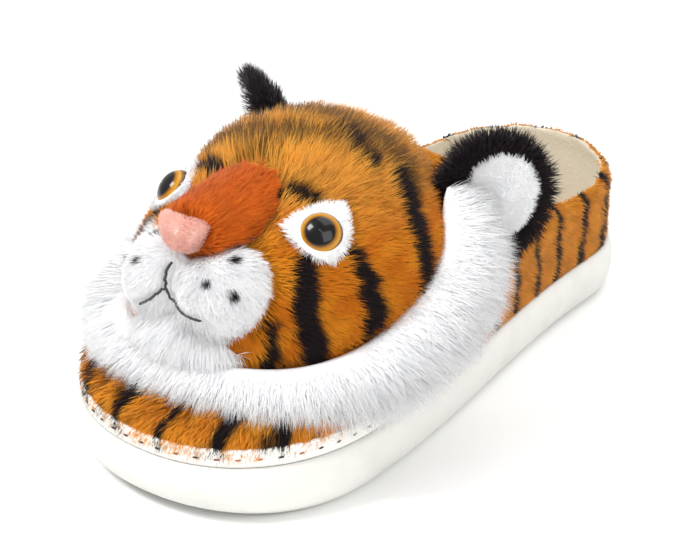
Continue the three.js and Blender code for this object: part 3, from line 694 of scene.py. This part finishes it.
def noise_at(points, size, seed):
    """Smooth noise from 0 to 1 at points in millimetres, as a sum of waves in fixed random directions."""
    rng = np.random.default_rng(seed)
    total = np.zeros(len(points))
    for _ in range(9):
        direction = rng.normal(size=3)
        direction /= np.linalg.norm(direction)
        wave_length = size * rng.uniform(0.7, 1.6)
        total += np.sin(points @ direction * 2 * np.pi / wave_length + rng.uniform(0, 6.3))
    return np.clip(0.5 + total / 7, 0, 1)


def mix(a, b, share):
    """Between two colours, each an sRGB hex value or linear rows, by a share at each point."""
    a, b = (np.array(linear(c)[:3]) if isinstance(c, str) else c for c in (a, b))
    share = np.asarray(share)[:, None]
    return a * (1 - share) + b * share


def smoothstep(low, high, value):
    """From 0 at low to 1 at high, with soft ends."""
    t = np.clip((value - low) / (high - low), 0, 1)
    return t * t * (3 - 2 * t)


def tint_strands(fur, paint, root_shade):
    """Colours each strand by where it is rooted, with painted shade at its foot, and lets it take the skin's
    light.
    """
    mesh = fur.data
    root, nap, chance_of = (get_values(mesh, mark, 3, "vector") for mark in ("root", "nap", "chance"))
    along = get_values(mesh, "along", 1, "value")[:, 0]
    colour, tips = paint(root / MM, nap, chance_of)
    colour = mix(colour, BLACK, tips * smoothstep(0.25, 0.8, along))
    # Painted shade: each strand is darker towards its root, where shade falls deep in the pile.
    strand_shade = root_shade + (1 - root_shade) * smoothstep(0, 0.7, along)
    wear = 1 + (chance_of[:, 1] - 0.5) * 0.4 * (1 - root_shade)
    colour = np.clip(colour * (strand_shade * wear)[:, None], 0, 1)
    set_values(mesh, "tint", "FLOAT_COLOR", np.c_[colour, np.ones(len(colour))])
    mesh.polygons.foreach_set("use_smooth", [True] * len(mesh.polygons))
    own = mesh_points(mesh) - root
    length = np.linalg.norm(own, axis=1, keepdims=True)
    own = np.where(length > 1e-6, own / np.maximum(length, 1e-6), nap)
    light = nap + 0.15 * own
    light /= np.linalg.norm(light, axis=1, keepdims=True)
    mesh.normals_split_custom_set_from_vertices(light)
    for mark in ("root", "nap", "chance", "along"):
        mesh.attributes.remove(mesh.attributes[mark])


def tint_skin(skin, paint, root_shade=0.5):
    """Colours a skin as its pile is, darkened by the root's share as painted shade under the pile."""
    points, normals = skin_surface(skin)
    colour, _ = paint(points, normals, np.full((len(points), 3), 0.5))
    # Painted shade: the skin under the pile takes the same darkening as the strands' roots.
    set_values(skin.data, "tint", "FLOAT_COLOR", np.c_[colour * root_shade, np.ones(len(points))])


def grow_fur(
    skin, name, paint, comb, length, cover, density, width, seed, tuft=0.7, tuft_scale=160, root_shade=0.62
):
    """Sets a skin's fur direction, length in millimetres and cover, and grows and tints its strands."""
    set_values(skin.data, "comb", "FLOAT_VECTOR", comb)
    set_values(skin.data, "length", "FLOAT", np.broadcast_to(length, len(comb)) * MM)
    set_values(skin.data, "cover", "FLOAT", cover)
    values = {"Strand": strand, "Density": density * 1e6, "Width": width * MM, "Tuft": tuft}
    values |= {"Tuft Scale": float(tuft_scale), "Seed": seed, "Material": plush}
    fur = grown(skin, fur_tree, values, name)
    tint_strands(fur, paint, root_shade)
    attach(fur, "root")
    return fur


def laid(normals, way, upright):
    """Fur directions: along the surface the given way, and up from it by a share."""
    way = way - normals * (way * normals).sum(axis=1, keepdims=True)
    way /= np.maximum(np.linalg.norm(way, axis=1, keepdims=True), 1e-6)
    upright = np.asarray(upright).reshape(-1, 1)
    made = way * np.sqrt(1 - upright**2) + normals * upright
    return made / np.linalg.norm(made, axis=1, keepdims=True)


def stripe_dark(points, normals, stripes, soft=1.0):
    """Black from 0 to 1 by tapered stripes along short lines of (x, y, z, half width)."""
    dark = np.zeros(len(points))
    wander = (noise_at(points, 6, 41) - 0.5) * 1.6
    for line in stripes:
        line = np.array(line, float)
        for a, b in zip(line[:-1], line[1:]):
            ab = b[:3] - a[:3]
            t = np.clip(((points - a[:3]) @ ab) / (ab @ ab), 0, 1)
            away = points - (a[:3] + t[:, None] * ab)
            away = away - normals * (away * normals).sum(axis=1, keepdims=True) * 0.85
            half = a[3] + (b[3] - a[3]) * t
            edge = np.linalg.norm(away, axis=1) + wander
            dark = np.maximum(dark, 1 - smoothstep(half - soft, half + soft, edge))
    return dark


# Stripes down the toe: place across the shoe and half width. Those of the sides and heel: place along at the
# collar and at the rim, and half width.
TOE_STRIPES = [(-46, 2.6), (-31, 3.4), (-7, 2.6), (13, 1.6), (31, 3.2), (45.5, 2.0)]
SIDE_STRIPES = [
    (-24, -8, 2), (-5, 8, 2.2), (22, 26, 1.7), (40, 44, 1.5), (60, 60, 2), (84, 80, 2.2), (106, 100, 2.4),
]
HEEL_STRIPES = [(-26, 2.2), (-6, 2.6), (14, 2.2), (34, 2.4)]
# Where along the shoe the toe's stripes end and those of the sides and of the heel begin, the height of the
# quarters, and how high the toe strip covers the shell.
TOE_END, SIDE_START, HEEL_START, QUARTER_HEIGHT, BEHIND_STRIP = -70, -40, 118, 34, 27.3


def paint_upper(points, normals, chance_of):
    """Colour and black tips of the shell's plush."""
    x, y, z = points.T
    base = mix(ORANGE, DEEP_ORANGE, 0.6 * noise_at(points, 14, 3))
    base = mix(base, PALE_ORANGE, 0.35 * chance_of[:, 0])
    wander = (noise_at(points, 11, 7) - 0.5) * 3
    dark = np.zeros(len(points))
    for place, half in TOE_STRIPES:
        stripe = 1 - smoothstep(half - 1, half + 1.2, np.abs(x + wander - place))
        dark = np.maximum(dark, (y < TOE_END) * stripe)
    up = np.clip((z - SOLE_HEIGHT) / QUARTER_HEIGHT, 0, 1)
    for top, low, half in SIDE_STRIPES:
        line = low + (top - low) * up
        stripe = 1 - smoothstep(half - 0.8, half + 1, np.abs(y + wander - line))
        dark = np.maximum(dark, (y > SIDE_START) * stripe)
    for place, half in HEEL_STRIPES:
        stripe = 1 - smoothstep(half - 1, half + 1, np.abs(x + wander - place))
        dark = np.maximum(dark, (y > HEEL_START) * stripe)
    speckle = smoothstep(0.45, 0.7, noise_at(points, 7, 12)) * (chance_of[:, 2] > 0.35)
    tips = speckle * (0.25 + 0.7 * smoothstep(6, -14, x) * (y < -90))
    return mix(base, BLACK, dark), tips


shell = even_skin("upper", "shell_skin", 1.7, 8, backing, 0.2)
points, normals = skin_surface(shell)
x, y, z = points.T
middle = np.c_[0 * x, np.clip(y, -80, 90), np.full(len(x), 30)]
facing = ((points - middle) * normals).sum(axis=1)
rim = np.where(y < -52, BEHIND_STRIP, float(SOLE_HEIGHT))
cover = open_cover(points, normals, 0, ("head", "ruff", "muzzle"), 0.8) * (facing > 6) * (z > rim)
cover *= 1 + 1.8 * smoothstep(32, 29, z) * (y < -48)
tint_skin(shell, paint_upper)
lining_tint = get_values(shell.data, "tint", 4, "color")
lining_tint[facing < 4] = linear("#CFC5B2")
set_values(shell.data, "tint", "FLOAT_COLOR", lining_tint)
way = np.c_[x * 0.25, np.where(y < -60, -40, 55), np.full(len(x), -60)]
toe = smoothstep(-44, -60, y)
low = smoothstep(36, 28, z) * toe
comb = laid(normals, way, 0.62 + 0.14 * toe - 0.3 * low)
edge = smoothstep(0.25, 0.8, normals[:, 2]) * (1 - toe)
length = (5.2 + 2.6 * toe - 2.4 * low) * (1 - 0.6 * edge)
near_rim = np.clip((z - rim) / 5, 0.8, 1) * (1 - low) + low
shell_fur = grow_fur(
    shell, "shell_fur", paint_upper, comb, length * near_rim, cover, 3.1, 0.46, 11, 0.75, 170, 0.7
)
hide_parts("upper")
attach(shell, "root")

# Head.
# A bag of the same plush cut in panels, stuffed full with polyester fibre and sewn down over the shell. The
# pile is longer and stands up on the crown, where its tips are dyed black in bands across.
CLOTH_FRAMES = 16


def stuffed(skin, fill, cap):
    """Blows the skin up as cloth under the fibre's pressure, with each point's travel capped."""
    before = mesh_points(skin.data)
    sim = skin.modifiers.new("fibre", "CLOTH")
    sim.settings.use_pressure = True
    sim.settings.uniform_pressure_force = 4 * fill
    sim.settings.quality = 4
    sim.settings.effector_weights.gravity = 0
    sim.point_cache.frame_start, sim.point_cache.frame_end = 1, CLOTH_FRAMES
    scene = bpy.context.scene
    for frame_number in range(1, CLOTH_FRAMES + 1):
        scene.frame_set(frame_number)
    depsgraph = bpy.context.evaluated_depsgraph_get()
    after = mesh_points(skin.evaluated_get(depsgraph).to_mesh())
    skin.modifiers.remove(sim)
    scene.frame_set(1)
    move = after - before
    far = np.linalg.norm(move, axis=1, keepdims=True)
    move *= np.minimum(1, cap * MM / np.maximum(far, 1e-9))
    skin.data.vertices.foreach_set("co", (before + move).ravel())
    skin.data.update()


def distance_to(points, line):
    """Distance of each point to a chain of lines."""
    best = np.full(len(points), 1e9)
    line = np.array(line, float)
    for a, b in zip(line[:-1], line[1:]):
        t = np.clip(((points - a) @ (b - a)) / ((b - a) @ (b - a)), 0, 1)
        best = np.minimum(best, np.linalg.norm(points - (a + t[:, None] * (b - a)), axis=1))
    return best


def both_sides(lines):
    """The lines and their mirror images."""
    return lines + [[(-x, y, z, half) for x, y, z, half in line] for line in lines]


HEAD_STRIPES = both_sides([
    [(32.0, -88, 80, 3.6), (35.5, -92, 72, 4.6), (38, -94, 62, 4.6), (40, -92, 50, 4.4)],
    [(42.5, -73, 80, 2.6), (47, -74, 72, 4.0), (51.5, -74, 62, 4.8), (52, -76, 50, 3.8)],
    [(33.6, -38, 94, 4.2), (42, -42, 88, 4.6), (49.2, -46, 80, 4.4), (56, -50, 66, 4.2), (57, -50, 52, 3)],
    [(31.5, -103, 68, 1.2), (30.5, -103, 58, 2.4), (29, -103, 48, 2.6)],
    [(12.5, -75, 97, 1.6), (18.5, -73, 94, 2.6), (26, -73, 93.5, 1.8)],
    [(11.5, -41, 104, 1.6), (18, -43, 102, 3.0), (27, -47, 97.5, 3.0)],
])
# White plush shows beside the right whisker pad, inside the ruff.
FAR_CHEEK = [(-31, -94, 78), (-32, -97, 66), (-27, -101, 54)]
WHITE, SHADOW_WHITE = "#FFFFFF", "#F4F5F8"
# Bands of black-tipped pile across the crown.
CROWN_BANDS = [
    [
        (-44, -64, 84, 4), (-28, -61, 95, 6), (-14, -60, 100.5, 7), (0, -57, 103, 6.5), (12, -50, 103, 5),
        (20, -46, 101, 4),
    ],
    [
        (-44, -40, 91, 4), (-22, -36, 101, 7), (2, -36, 104, 7), (18, -35, 101, 8), (30, -33, 96, 7),
        (38, -38, 92, 6),
    ],
    [(-36, -8, 91, 4), (-10, -4, 97, 6), (14, -4, 97, 6), (38, -9, 90, 4)],
]


def paint_head(points, normals, chance_of):
    """Colour and black tips of the head's plush."""
    _, y, z = points.T
    base = mix(ORANGE, DEEP_ORANGE, 0.75 * noise_at(points, 12, 21))
    # Painted highlight: the plush is paler towards the top of the head, by a random share from strand to
    # strand.
    base = mix(base, PALE_ORANGE, (0.3 + 0.5 * chance_of[:, 0]) * smoothstep(78, 96, z))
    top = smoothstep(80, 97, z) * smoothstep(-78, -60, y)
    speckle = 0.6 * top * smoothstep(0.5, 0.78, noise_at(points, 7, 29)) * (chance_of[:, 2] > 0.5)
    tips = np.maximum(stripe_dark(points, normals, CROWN_BANDS, 3) * (chance_of[:, 2] > 0.2), speckle)
    seam = 1 - smoothstep(4.5, 7, distance_to(points, FAR_CHEEK))
    return mix(mix(base, BLACK, stripe_dark(points, normals, HEAD_STRIPES)), WHITE, seam), tips


HEAD_NEIGHBOURS = [
    "muzzle", "bridge", "eye_patch_left", "eye_patch_right", "ear_left", "ear_right", "ruff", "upper",
]
head = even_skin("head", "head_skin", 2.6, 14, backing, 1.6)
stuffed(head, 0.6, 1.5)
points, normals = skin_surface(head)
tint_skin(head, paint_head)
cover = open_cover(points, normals, 1.6, HEAD_NEIGHBOURS, 0.5)
comb = laid(normals, points - (0, -112, 84), 0.6 + 0.26 * smoothstep(86, 98, points[:, 2]))
length = 6.6 + 5.2 * smoothstep(84, 98, points[:, 2]) * smoothstep(-84, -64, points[:, 1])
fur = grow_fur(head, "head_fur", paint_head, comb, length, cover, 4.2, 0.38, 21, 0.95, 105, 0.7)
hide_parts("head")
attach(head, "root")

# Muzzle.
# Two whisker pads and a chin of short white plush, stuffed and drawn in by the mouth's black thread. Small
# black knots mark the whiskers' roots.
MOUTH = [
    [(-3.2, -111, 78.5), (-4.2, -113, 74.6), (-2.8, -114.6, 70.6)],
    [(-2.8, -114.6, 70.6), (-1, -115.5, 67.4), (3.6, -117.6, 65.2), (9.9, -118.7, 64.6), (16, -118.5, 64.6)],
    [(-2.8, -114.6, 70.6), (-5.8, -117.7, 67.2), (-9, -118.5, 64.6), (-13, -118, 62)],
]
WHISKERS = [(17, -103.2, 82.8), (14.6, -114.4, 78.3), (23.6, -111.3, 75.1)]


def paint_white(points, normals, chance_of):
    """White plush with no tips."""
    return mix(WHITE, SHADOW_WHITE, 0.5 * noise_at(points, 9, 31)), 0


def paint_muzzle(points, normals, chance_of):
    """White plush with the whiskers' black knots."""
    base, tips = paint_white(points, normals, chance_of)
    spots = np.array(WHISKERS + [(-x, y, z) for x, y, z in WHISKERS])
    away = np.linalg.norm(points[:, None] - spots[None], axis=2).min(axis=1)
    return mix(base, BLACK, 1 - smoothstep(1.7, 2.6, away)), tips


muzzle = even_skin("muzzle", "muzzle_skin", 1.6, 10, backing, 0.8)
stuffed(muzzle, 0.6, 1.0)
points, normals = skin_surface(muzzle)
drawn = np.min([distance_to(points, line) for line in MOUTH], axis=0)
points -= normals * (1.6 * np.exp(-((drawn / 2.6) ** 2)))[:, None]
muzzle.data.vertices.foreach_set("co", (points * MM).ravel())
muzzle.data.update()
normals = mesh_normals(muzzle.data)
tint_skin(muzzle, paint_muzzle, 0.86)
cover = open_cover(points, normals, 1, ("head", "nose", "bridge", "upper"), 0.3)
comb = laid(normals, points - (0, -108, 98), 0.6)
chin = smoothstep(66, 52, points[:, 2]) * smoothstep(26, 15, np.abs(points[:, 0]))
length = (4.2 + 6.5 * chin) * (0.35 + 0.65 * smoothstep(1, 5, drawn))
fur = grow_fur(muzzle, "muzzle_fur", paint_muzzle, comb, length, cover, 7.0, 0.28, 31, tuft=0.6, root_shade=0.96)
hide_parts("muzzle")
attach(muzzle, "root")

# The eye sees a near-black cord with a dull, slightly silky edge.
black_thread, _, _ = new_material("black_embroidery_thread", "#1C1719", 0.55, Sheen_Weight=0.3)
THREAD_STEPS, THREAD_SIDES = 28, 6


def thread_along(name, lines, carrier, radius, above):
    """A sewn line of thread that lies on a skin."""
    mesh = carrier.data
    skin = BVHTree.FromPolygons([v.co for v in mesh.vertices], [tuple(p.vertices) for p in mesh.polygons])
    verts, faces = [], []
    for line in lines:
        spots, ups = [], []
        for p in smooth_rows(line, THREAD_STEPS):
            spot, normal, _, _ = skin.find_nearest(Vector(p * MM))
            spots.append(np.array(spot) / MM + np.array(normal) * above)
            ups.append(np.array(normal))
        tangents = np.gradient(np.array(spots), axis=0)
        first, last = len(verts), len(verts) + (THREAD_STEPS - 1) * THREAD_SIDES
        for i, (spot, up, tangent) in enumerate(zip(spots, ups, tangents)):
            tangent = tangent / np.linalg.norm(tangent)
            side = np.cross(tangent, up)
            side /= np.linalg.norm(side)
            up = np.cross(side, tangent)
            size = radius * (0.4 if i in (0, THREAD_STEPS - 1) else 1) * (1 + 0.12 * math.sin(i * 1.9))
            for k in range(THREAD_SIDES):
                angle = 2 * math.pi * k / THREAD_SIDES
                verts.append(spot + size * (math.cos(angle) * side + math.sin(angle) * up))
        faces += [tuple(first + v for v in f[::-1]) for f in loft_faces(THREAD_STEPS, THREAD_SIDES)]
        faces.append(tuple(range(first, first + THREAD_SIDES)))
        faces.append(tuple(reversed(range(last, last + THREAD_SIDES))))
    return mesh_piece(name, verts, faces, black_thread)


mouth_thread = thread_along("mouth_thread", MOUTH, muzzle, 0.5, 2.2)
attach(mouth_thread, "root")

# Bridge.
# A separate panel of shorter rust-coloured plush, stuffed into a ridge from the forehead to the nose and
# sewn down along its edges.
RUST, DEEP_RUST, WARM_RUST = "#E26C0C", "#C6570A", "#F09030"


def paint_bridge(points, normals, chance_of):
    """Rust plush with no tips."""
    base = mix(RUST, DEEP_RUST, 0.7 * noise_at(points, 9, 51))
    return mix(base, WARM_RUST, 0.45 * chance_of[:, 0]), 0


bridge = even_skin("bridge", "bridge_skin", 1.6, 10, backing, 0.4)
stuffed(bridge, 0.5, 0.3)
points, normals = skin_surface(bridge)
tint_skin(bridge, paint_bridge)
cover = open_cover(points, normals, 1, ("head", "nose", "muzzle"), 0.2)
comb = laid(normals, points * (0.6, 0, 0) + (0, 20, 6), 0.5)
fur = grow_fur(bridge, "bridge_fur", paint_bridge, comb, 5.2, cover, 6.0, 0.32, 41, root_shade=0.74)
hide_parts("bridge")
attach(bridge, "root")

# Nose.
# A small triangle of the shortest pile, pale pink, stuffed with a little polyester fibre and sewn on at the
# bridge's end.


def paint_nose(points, normals, chance_of):
    """Pink plush with no tips."""
    return mix("#F8CFC2", "#ECB0A1", 0.6 * noise_at(points, 5, 61)), 0


nose = even_skin("nose", "nose_skin", 0.9, 12, backing, 0.2)
stuffed(nose, 0.4, 0.4)
points, normals = skin_surface(nose)
tint_skin(nose, paint_nose, 0.9)
cover = open_cover(points, normals, 0.5, ("head", "muzzle", "bridge"), 0.2)
comb = laid(normals, points - points.mean(axis=0), 0.7)
fur = grow_fur(nose, "nose_fur", paint_nose, comb, 1.7, cover, 7, 0.3, 51, root_shade=0.86)
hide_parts("nose")
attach(nose, "root")

# Eye patches and eyes.
# Petals of white plush sewn flat on the head, each with a safety eye pressed through: a clear moulded dome
# over an amber ring and a black pupil, with a thin dark edge.
EYE_PLACE = np.array([33.2, -76.5, 85.86])
EYE_LOOK = np.array([0.46, -0.62, 0.63]) / np.linalg.norm([0.46, -0.62, 0.63])
EYE_RADIUS, EYE_HEIGHT, EYE_SIDES = 7.7, 5.8, 40
# Radius and height of the dome's rings in shares of the two sizes above.
EYE_ROWS = [
    (0.001, 1.0), (0.12, 0.993), (0.25, 0.968), (0.4, 0.917), (0.54, 0.84), (0.585, 0.812), (0.66, 0.752),
    (0.75, 0.66), (0.84, 0.54), (0.92, 0.39), (0.975, 0.22), (1.0, 0.08), (1.0, -0.6), (0.9, -0.7),
]

eye_glass, tree, shader = new_material(
    "clear_acrylic_over_amber", "#000000", 0.3,
    Coat_Weight=0.45, Coat_Roughness=0.03, Specular_IOR_Level=0.1,
)
# The eye sees a wet gloss over an amber ring that is darker at both its edges.
ring = add_node(tree, "ShaderNodeAttribute", attribute_name="ring")
add_node(
    tree, "ShaderNodeValToRGB", {"Fac": ring.outputs["Fac"]}, shader.inputs["Base Color"],
    stops=[
        (0.0, "#060405"), (0.62, "#080506"), (0.67, "#5A3606"), (0.75, "#A06A14"), (0.86, "#C08A26"),
        (0.92, "#7A4C0E"), (0.965, "#2A1A0A"),
    ],
)


def eye_button(name, side):
    """A domed button that looks out of the head, with each point's share of the radius stored on it."""
    look = EYE_LOOK * (side, 1, 1)
    across = np.cross((0, 0, 1), look)
    across /= np.linalg.norm(across)
    up = np.cross(look, across)
    verts = []
    for radius, height in EYE_ROWS:
        for k in range(EYE_SIDES):
            angle = 2 * math.pi * k / EYE_SIDES
            flat = math.cos(angle) * across + math.sin(angle) * up
            verts.append(EYE_PLACE * (side, 1, 1) + EYE_RADIUS * radius * flat + EYE_HEIGHT * height * look)
    faces = [f[::-1] for f in loft_faces(len(EYE_ROWS), EYE_SIDES)]
    faces.append(tuple(range((len(EYE_ROWS) - 1) * EYE_SIDES, len(EYE_ROWS) * EYE_SIDES)))
    faces.append(tuple(reversed(range(EYE_SIDES))))
    button = mesh_piece(name, verts, faces, eye_glass)
    set_values(button.data, "ring", "FLOAT", np.repeat([radius for radius, _ in EYE_ROWS], EYE_SIDES))
    return button


for side_name, side in (("left", 1), ("right", -1)):
    patch = even_skin("eye_patch_" + side_name, "eye_patch_skin_" + side_name, 0.9, 5, backing, 0.0)
    points, normals = skin_surface(patch)
    tint_skin(patch, paint_white, 0.86)
    out_of_middle = points - EYE_PLACE * (side, 1, 1)
    look = EYE_LOOK * (side, 1, 1)
    away = np.linalg.norm(np.cross(out_of_middle, look), axis=1)
    cover = ((normals @ look > 0.25) & (away > EYE_RADIUS - 0.3)).astype(float)
    comb = laid(normals, out_of_middle, 0.6)
    fur = grow_fur(
        patch, "eye_patch_fur_" + side_name, paint_white, comb, 3.0, cover, 5.0, 0.32, 60 + side, root_shade=0.86
    )
    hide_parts("eye_patch_" + side_name)
    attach(patch, "root")
    button = eye_button("eye_button_" + side_name, side)
    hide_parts("eye_" + side_name)
    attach(button, "root")

# Ears.
# Leaves of black plush, lightly stuffed and cupped forward, with a pad of short white plush sewn in the
# hollow.
EAR_BLACK, EAR_GREY = "#1D1619", "#3A3034"


def paint_black(points, normals, chance_of):
    """Black plush with no tips."""
    return mix(EAR_BLACK, EAR_GREY, 0.5 * chance_of[:, 0]), 0


for side_name, side in (("left", 1), ("right", -1)):
    ear = even_skin("ear_" + side_name, "ear_skin_" + side_name, 1.5, 8, backing, 0.5)
    stuffed(ear, 0.3, 0.8)
    points, normals = skin_surface(ear)
    tint_skin(ear, paint_black, 0.8)
    cover = open_cover(points, normals, 0.6, ("head", "ear_lining_" + side_name, "upper"), 0.5)
    comb = laid(normals, points - points.mean(axis=0), 0.74)
    fur = grow_fur(
        ear, "ear_fur_" + side_name, paint_black, comb, 8.6, cover, 3.6, 0.42, 70 + side, root_shade=0.7
    )
    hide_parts("ear_" + side_name)
    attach(ear, "root")

    lining = even_skin("ear_lining_" + side_name, "ear_lining_skin_" + side_name, 0.9, 8, backing, 0.0)
    points, normals = skin_surface(lining)
    tint_skin(lining, paint_white, 0.9)
    cover = (normals[:, 1] < 0.3).astype(float)
    comb = laid(normals, points - points.mean(axis=0), 0.6)
    fur = grow_fur(
        lining, "ear_lining_fur_" + side_name, paint_white, comb, 2.2, cover, 4.5, 0.36, 80 + side, root_shade=0.86
    )
    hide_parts("ear_lining_" + side_name)
    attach(lining, "root")

# Ruff.
# A band of long white faux fur sewn round the face from ear to ear under the chin. The pile falls outward
# over the shell and the sole's rim and ends in loose pointed locks.
# The head it goes round: height of its seat, its middle along the shoe, its width, rise and reach ahead.
HEAD_SEAT, HEAD_MIDDLE = 30.0, -43.96
HEAD_WIDTH, HEAD_RISE, HEAD_FRONT = 114, 76, 70
RUFF_RADIUS, RUFF_RINGS, RUFF_SIDES = 9.0, 110, 28
# Share from the chin to an ear, place sideways, ahead and up in shares of the head, and thickness.
RUFF_ROWS = [
    (0, 0, 1.043, 0.145, 0.62), (0.14, 0.421, 0.971, 0.132, 0.74), (0.28, 0.737, 0.786, 0.118, 0.88),
    (0.43, 0.947, 0.5, 0.145, 1), (0.58, 1.035, 0.171, 0.237, 1.04), (0.73, 1.035, -0.129, 0.395, 1),
    (0.87, 0.947, -0.3, 0.592, 0.8), (1, 0.807, -0.357, 0.763, 0.5),
]
_, sideways, ahead, up, thick = np.array(RUFF_ROWS).T
half_roll = np.c_[
    sideways * HEAD_WIDTH / 2, HEAD_MIDDLE - ahead * HEAD_FRONT, HEAD_SEAT + up * HEAD_RISE,
    thick * RUFF_RADIUS,
]
roll = smooth_rows(np.concatenate([half_roll[:0:-1] * (-1, 1, 1, 1), half_roll]), RUFF_RINGS, columns=3)
tangents = np.gradient(roll[:, :3], axis=0)
tangents /= np.linalg.norm(tangents, axis=1, keepdims=True)
away = np.c_[roll[:, 0], roll[:, 1] - HEAD_MIDDLE, np.full(RUFF_RINGS, -10)]
away -= tangents * (away * tangents).sum(axis=1, keepdims=True)
away /= np.linalg.norm(away, axis=1, keepdims=True)
over = np.cross(tangents, away)
half = (RUFF_RINGS - 1) / 2
ruff_verts, ruff_ways = [], []
for i in range(RUFF_RINGS):
    rounding = math.sqrt(max(0.03, 1 - max(0, abs(i - half) / half - 0.93) / 0.07 * 0.97))
    for angle in np.linspace(0, 2 * np.pi, RUFF_SIDES, endpoint=False):
        section = roll[i, 3] * rounding * (math.cos(angle) * away[i] + math.sin(angle) * over[i])
        ruff_verts.append(roll[i, :3] + section)
        ruff_ways.append(away[i])
ruff_faces = loft_faces(RUFF_RINGS, RUFF_SIDES)
last_ring = range((RUFF_RINGS - 1) * RUFF_SIDES, RUFF_RINGS * RUFF_SIDES)
ruff_faces += [tuple(reversed(range(RUFF_SIDES))), tuple(last_ring)]
ruff = mesh_piece("ruff_skin", ruff_verts, ruff_faces, backing)
points, ruff_ways, normals = np.array(ruff_verts), np.array(ruff_ways), mesh_normals(ruff.data)
tint_skin(ruff, paint_white, 0.88)
outer = (ruff_ways * normals).sum(axis=1)
under_chin = smoothstep(-88, -104, points[:, 1])
way = ruff_ways + np.c_[0 * outer, 0 * outer, -0.28 - 0.5 * under_chin]
comb = 0.42 * normals + 0.9 * way / np.linalg.norm(way, axis=1, keepdims=True)
comb /= np.linalg.norm(comb, axis=1, keepdims=True)
ends = smoothstep(62, 84, points[:, 2])
length = (7.5 + 7 * smoothstep(-0.4, 0.8, outer)) * (1 - 0.3 * under_chin) * (1 - 0.2 * ends)
RUFF_NEIGHBOURS = ["head", "muzzle", "outsole", "upper", "toe_strip", "ear_left", "ear_right"]
cover = open_cover(points, normals, 0.5, RUFF_NEIGHBOURS, 0.3)
fur = grow_fur(ruff, "ruff_fur", paint_white, comb, length, cover, 4.8, 0.28, 91, 0.5, 70, 0.97)
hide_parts("ruff")
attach(ruff, "root")
bpy.data.objects.remove(strand)

# Floor, light and camera.
# A pale studio sweep, a large soft light from the upper left, a fill, and the camera at the photographed
# angle to the shoe.
FLOOR_REACH, FLOOR_HEIGHT = 4000, -0.2
sweep, tree, shader = new_material("pale_paper", "#F4F4F3", 0.9)
# The eye sees an even matt paper with a trace of fibre.
place = add_node(tree, "ShaderNodeTexCoord").outputs["Object"]
fibre = add_node(tree, "ShaderNodeTexNoise", {"Vector": place, "Scale": 900, "Detail": 2})
add_node(
    tree, "ShaderNodeBump", {"Height": fibre.outputs["Fac"], "Strength": 0.05, "Distance": 0.0002},
    shader.inputs["Normal"],
)
corners = [(x * FLOOR_REACH, y * FLOOR_REACH, FLOOR_HEIGHT) for x, y in ((-1, -1), (1, -1), (1, 1), (-1, 1))]
floor = mesh_piece("floor", corners, [(0, 1, 2, 3)], sweep)


def soft_light(name, place, size, power):
    """A square lamp turned to the shoe."""
    data = bpy.data.lights.new(name, "AREA")
    data.size, data.energy = size, power
    light = placed(name, data)
    light.location = place
    light.rotation_euler = (Vector((0, 0, 0.04)) - Vector(place)).to_track_quat("-Z", "Y").to_euler()


soft_light("key", (-0.55, -0.75, 1.15), 0.45, 15)
soft_light("fill", (1.1, -0.5, 0.7), 0.9, 8)
soft_light("top", (0.1, 0.5, 1.4), 1.2, 10)
world = bpy.context.scene.world or bpy.data.worlds.new("world")
bpy.context.scene.world = world
world.use_nodes = True
background = world.node_tree.nodes["Background"]
background.inputs["Color"].default_value = (1, 1, 1, 1)
background.inputs["Strength"].default_value = 0.72
bpy.context.scene.view_settings.view_transform = "Standard"

camera_data = bpy.data.cameras.new("camera")
camera_data.lens, camera_data.sensor_width = 84, 36
camera = placed("camera", camera_data)
camera.location = (0.3472, -0.4696, 0.3044)
aim = Vector((-0.010, -0.004, 0.030))
camera.rotation_euler = (aim - camera.location).to_track_quat("-Z", "Y").to_euler()
bpy.context.scene.camera = camera
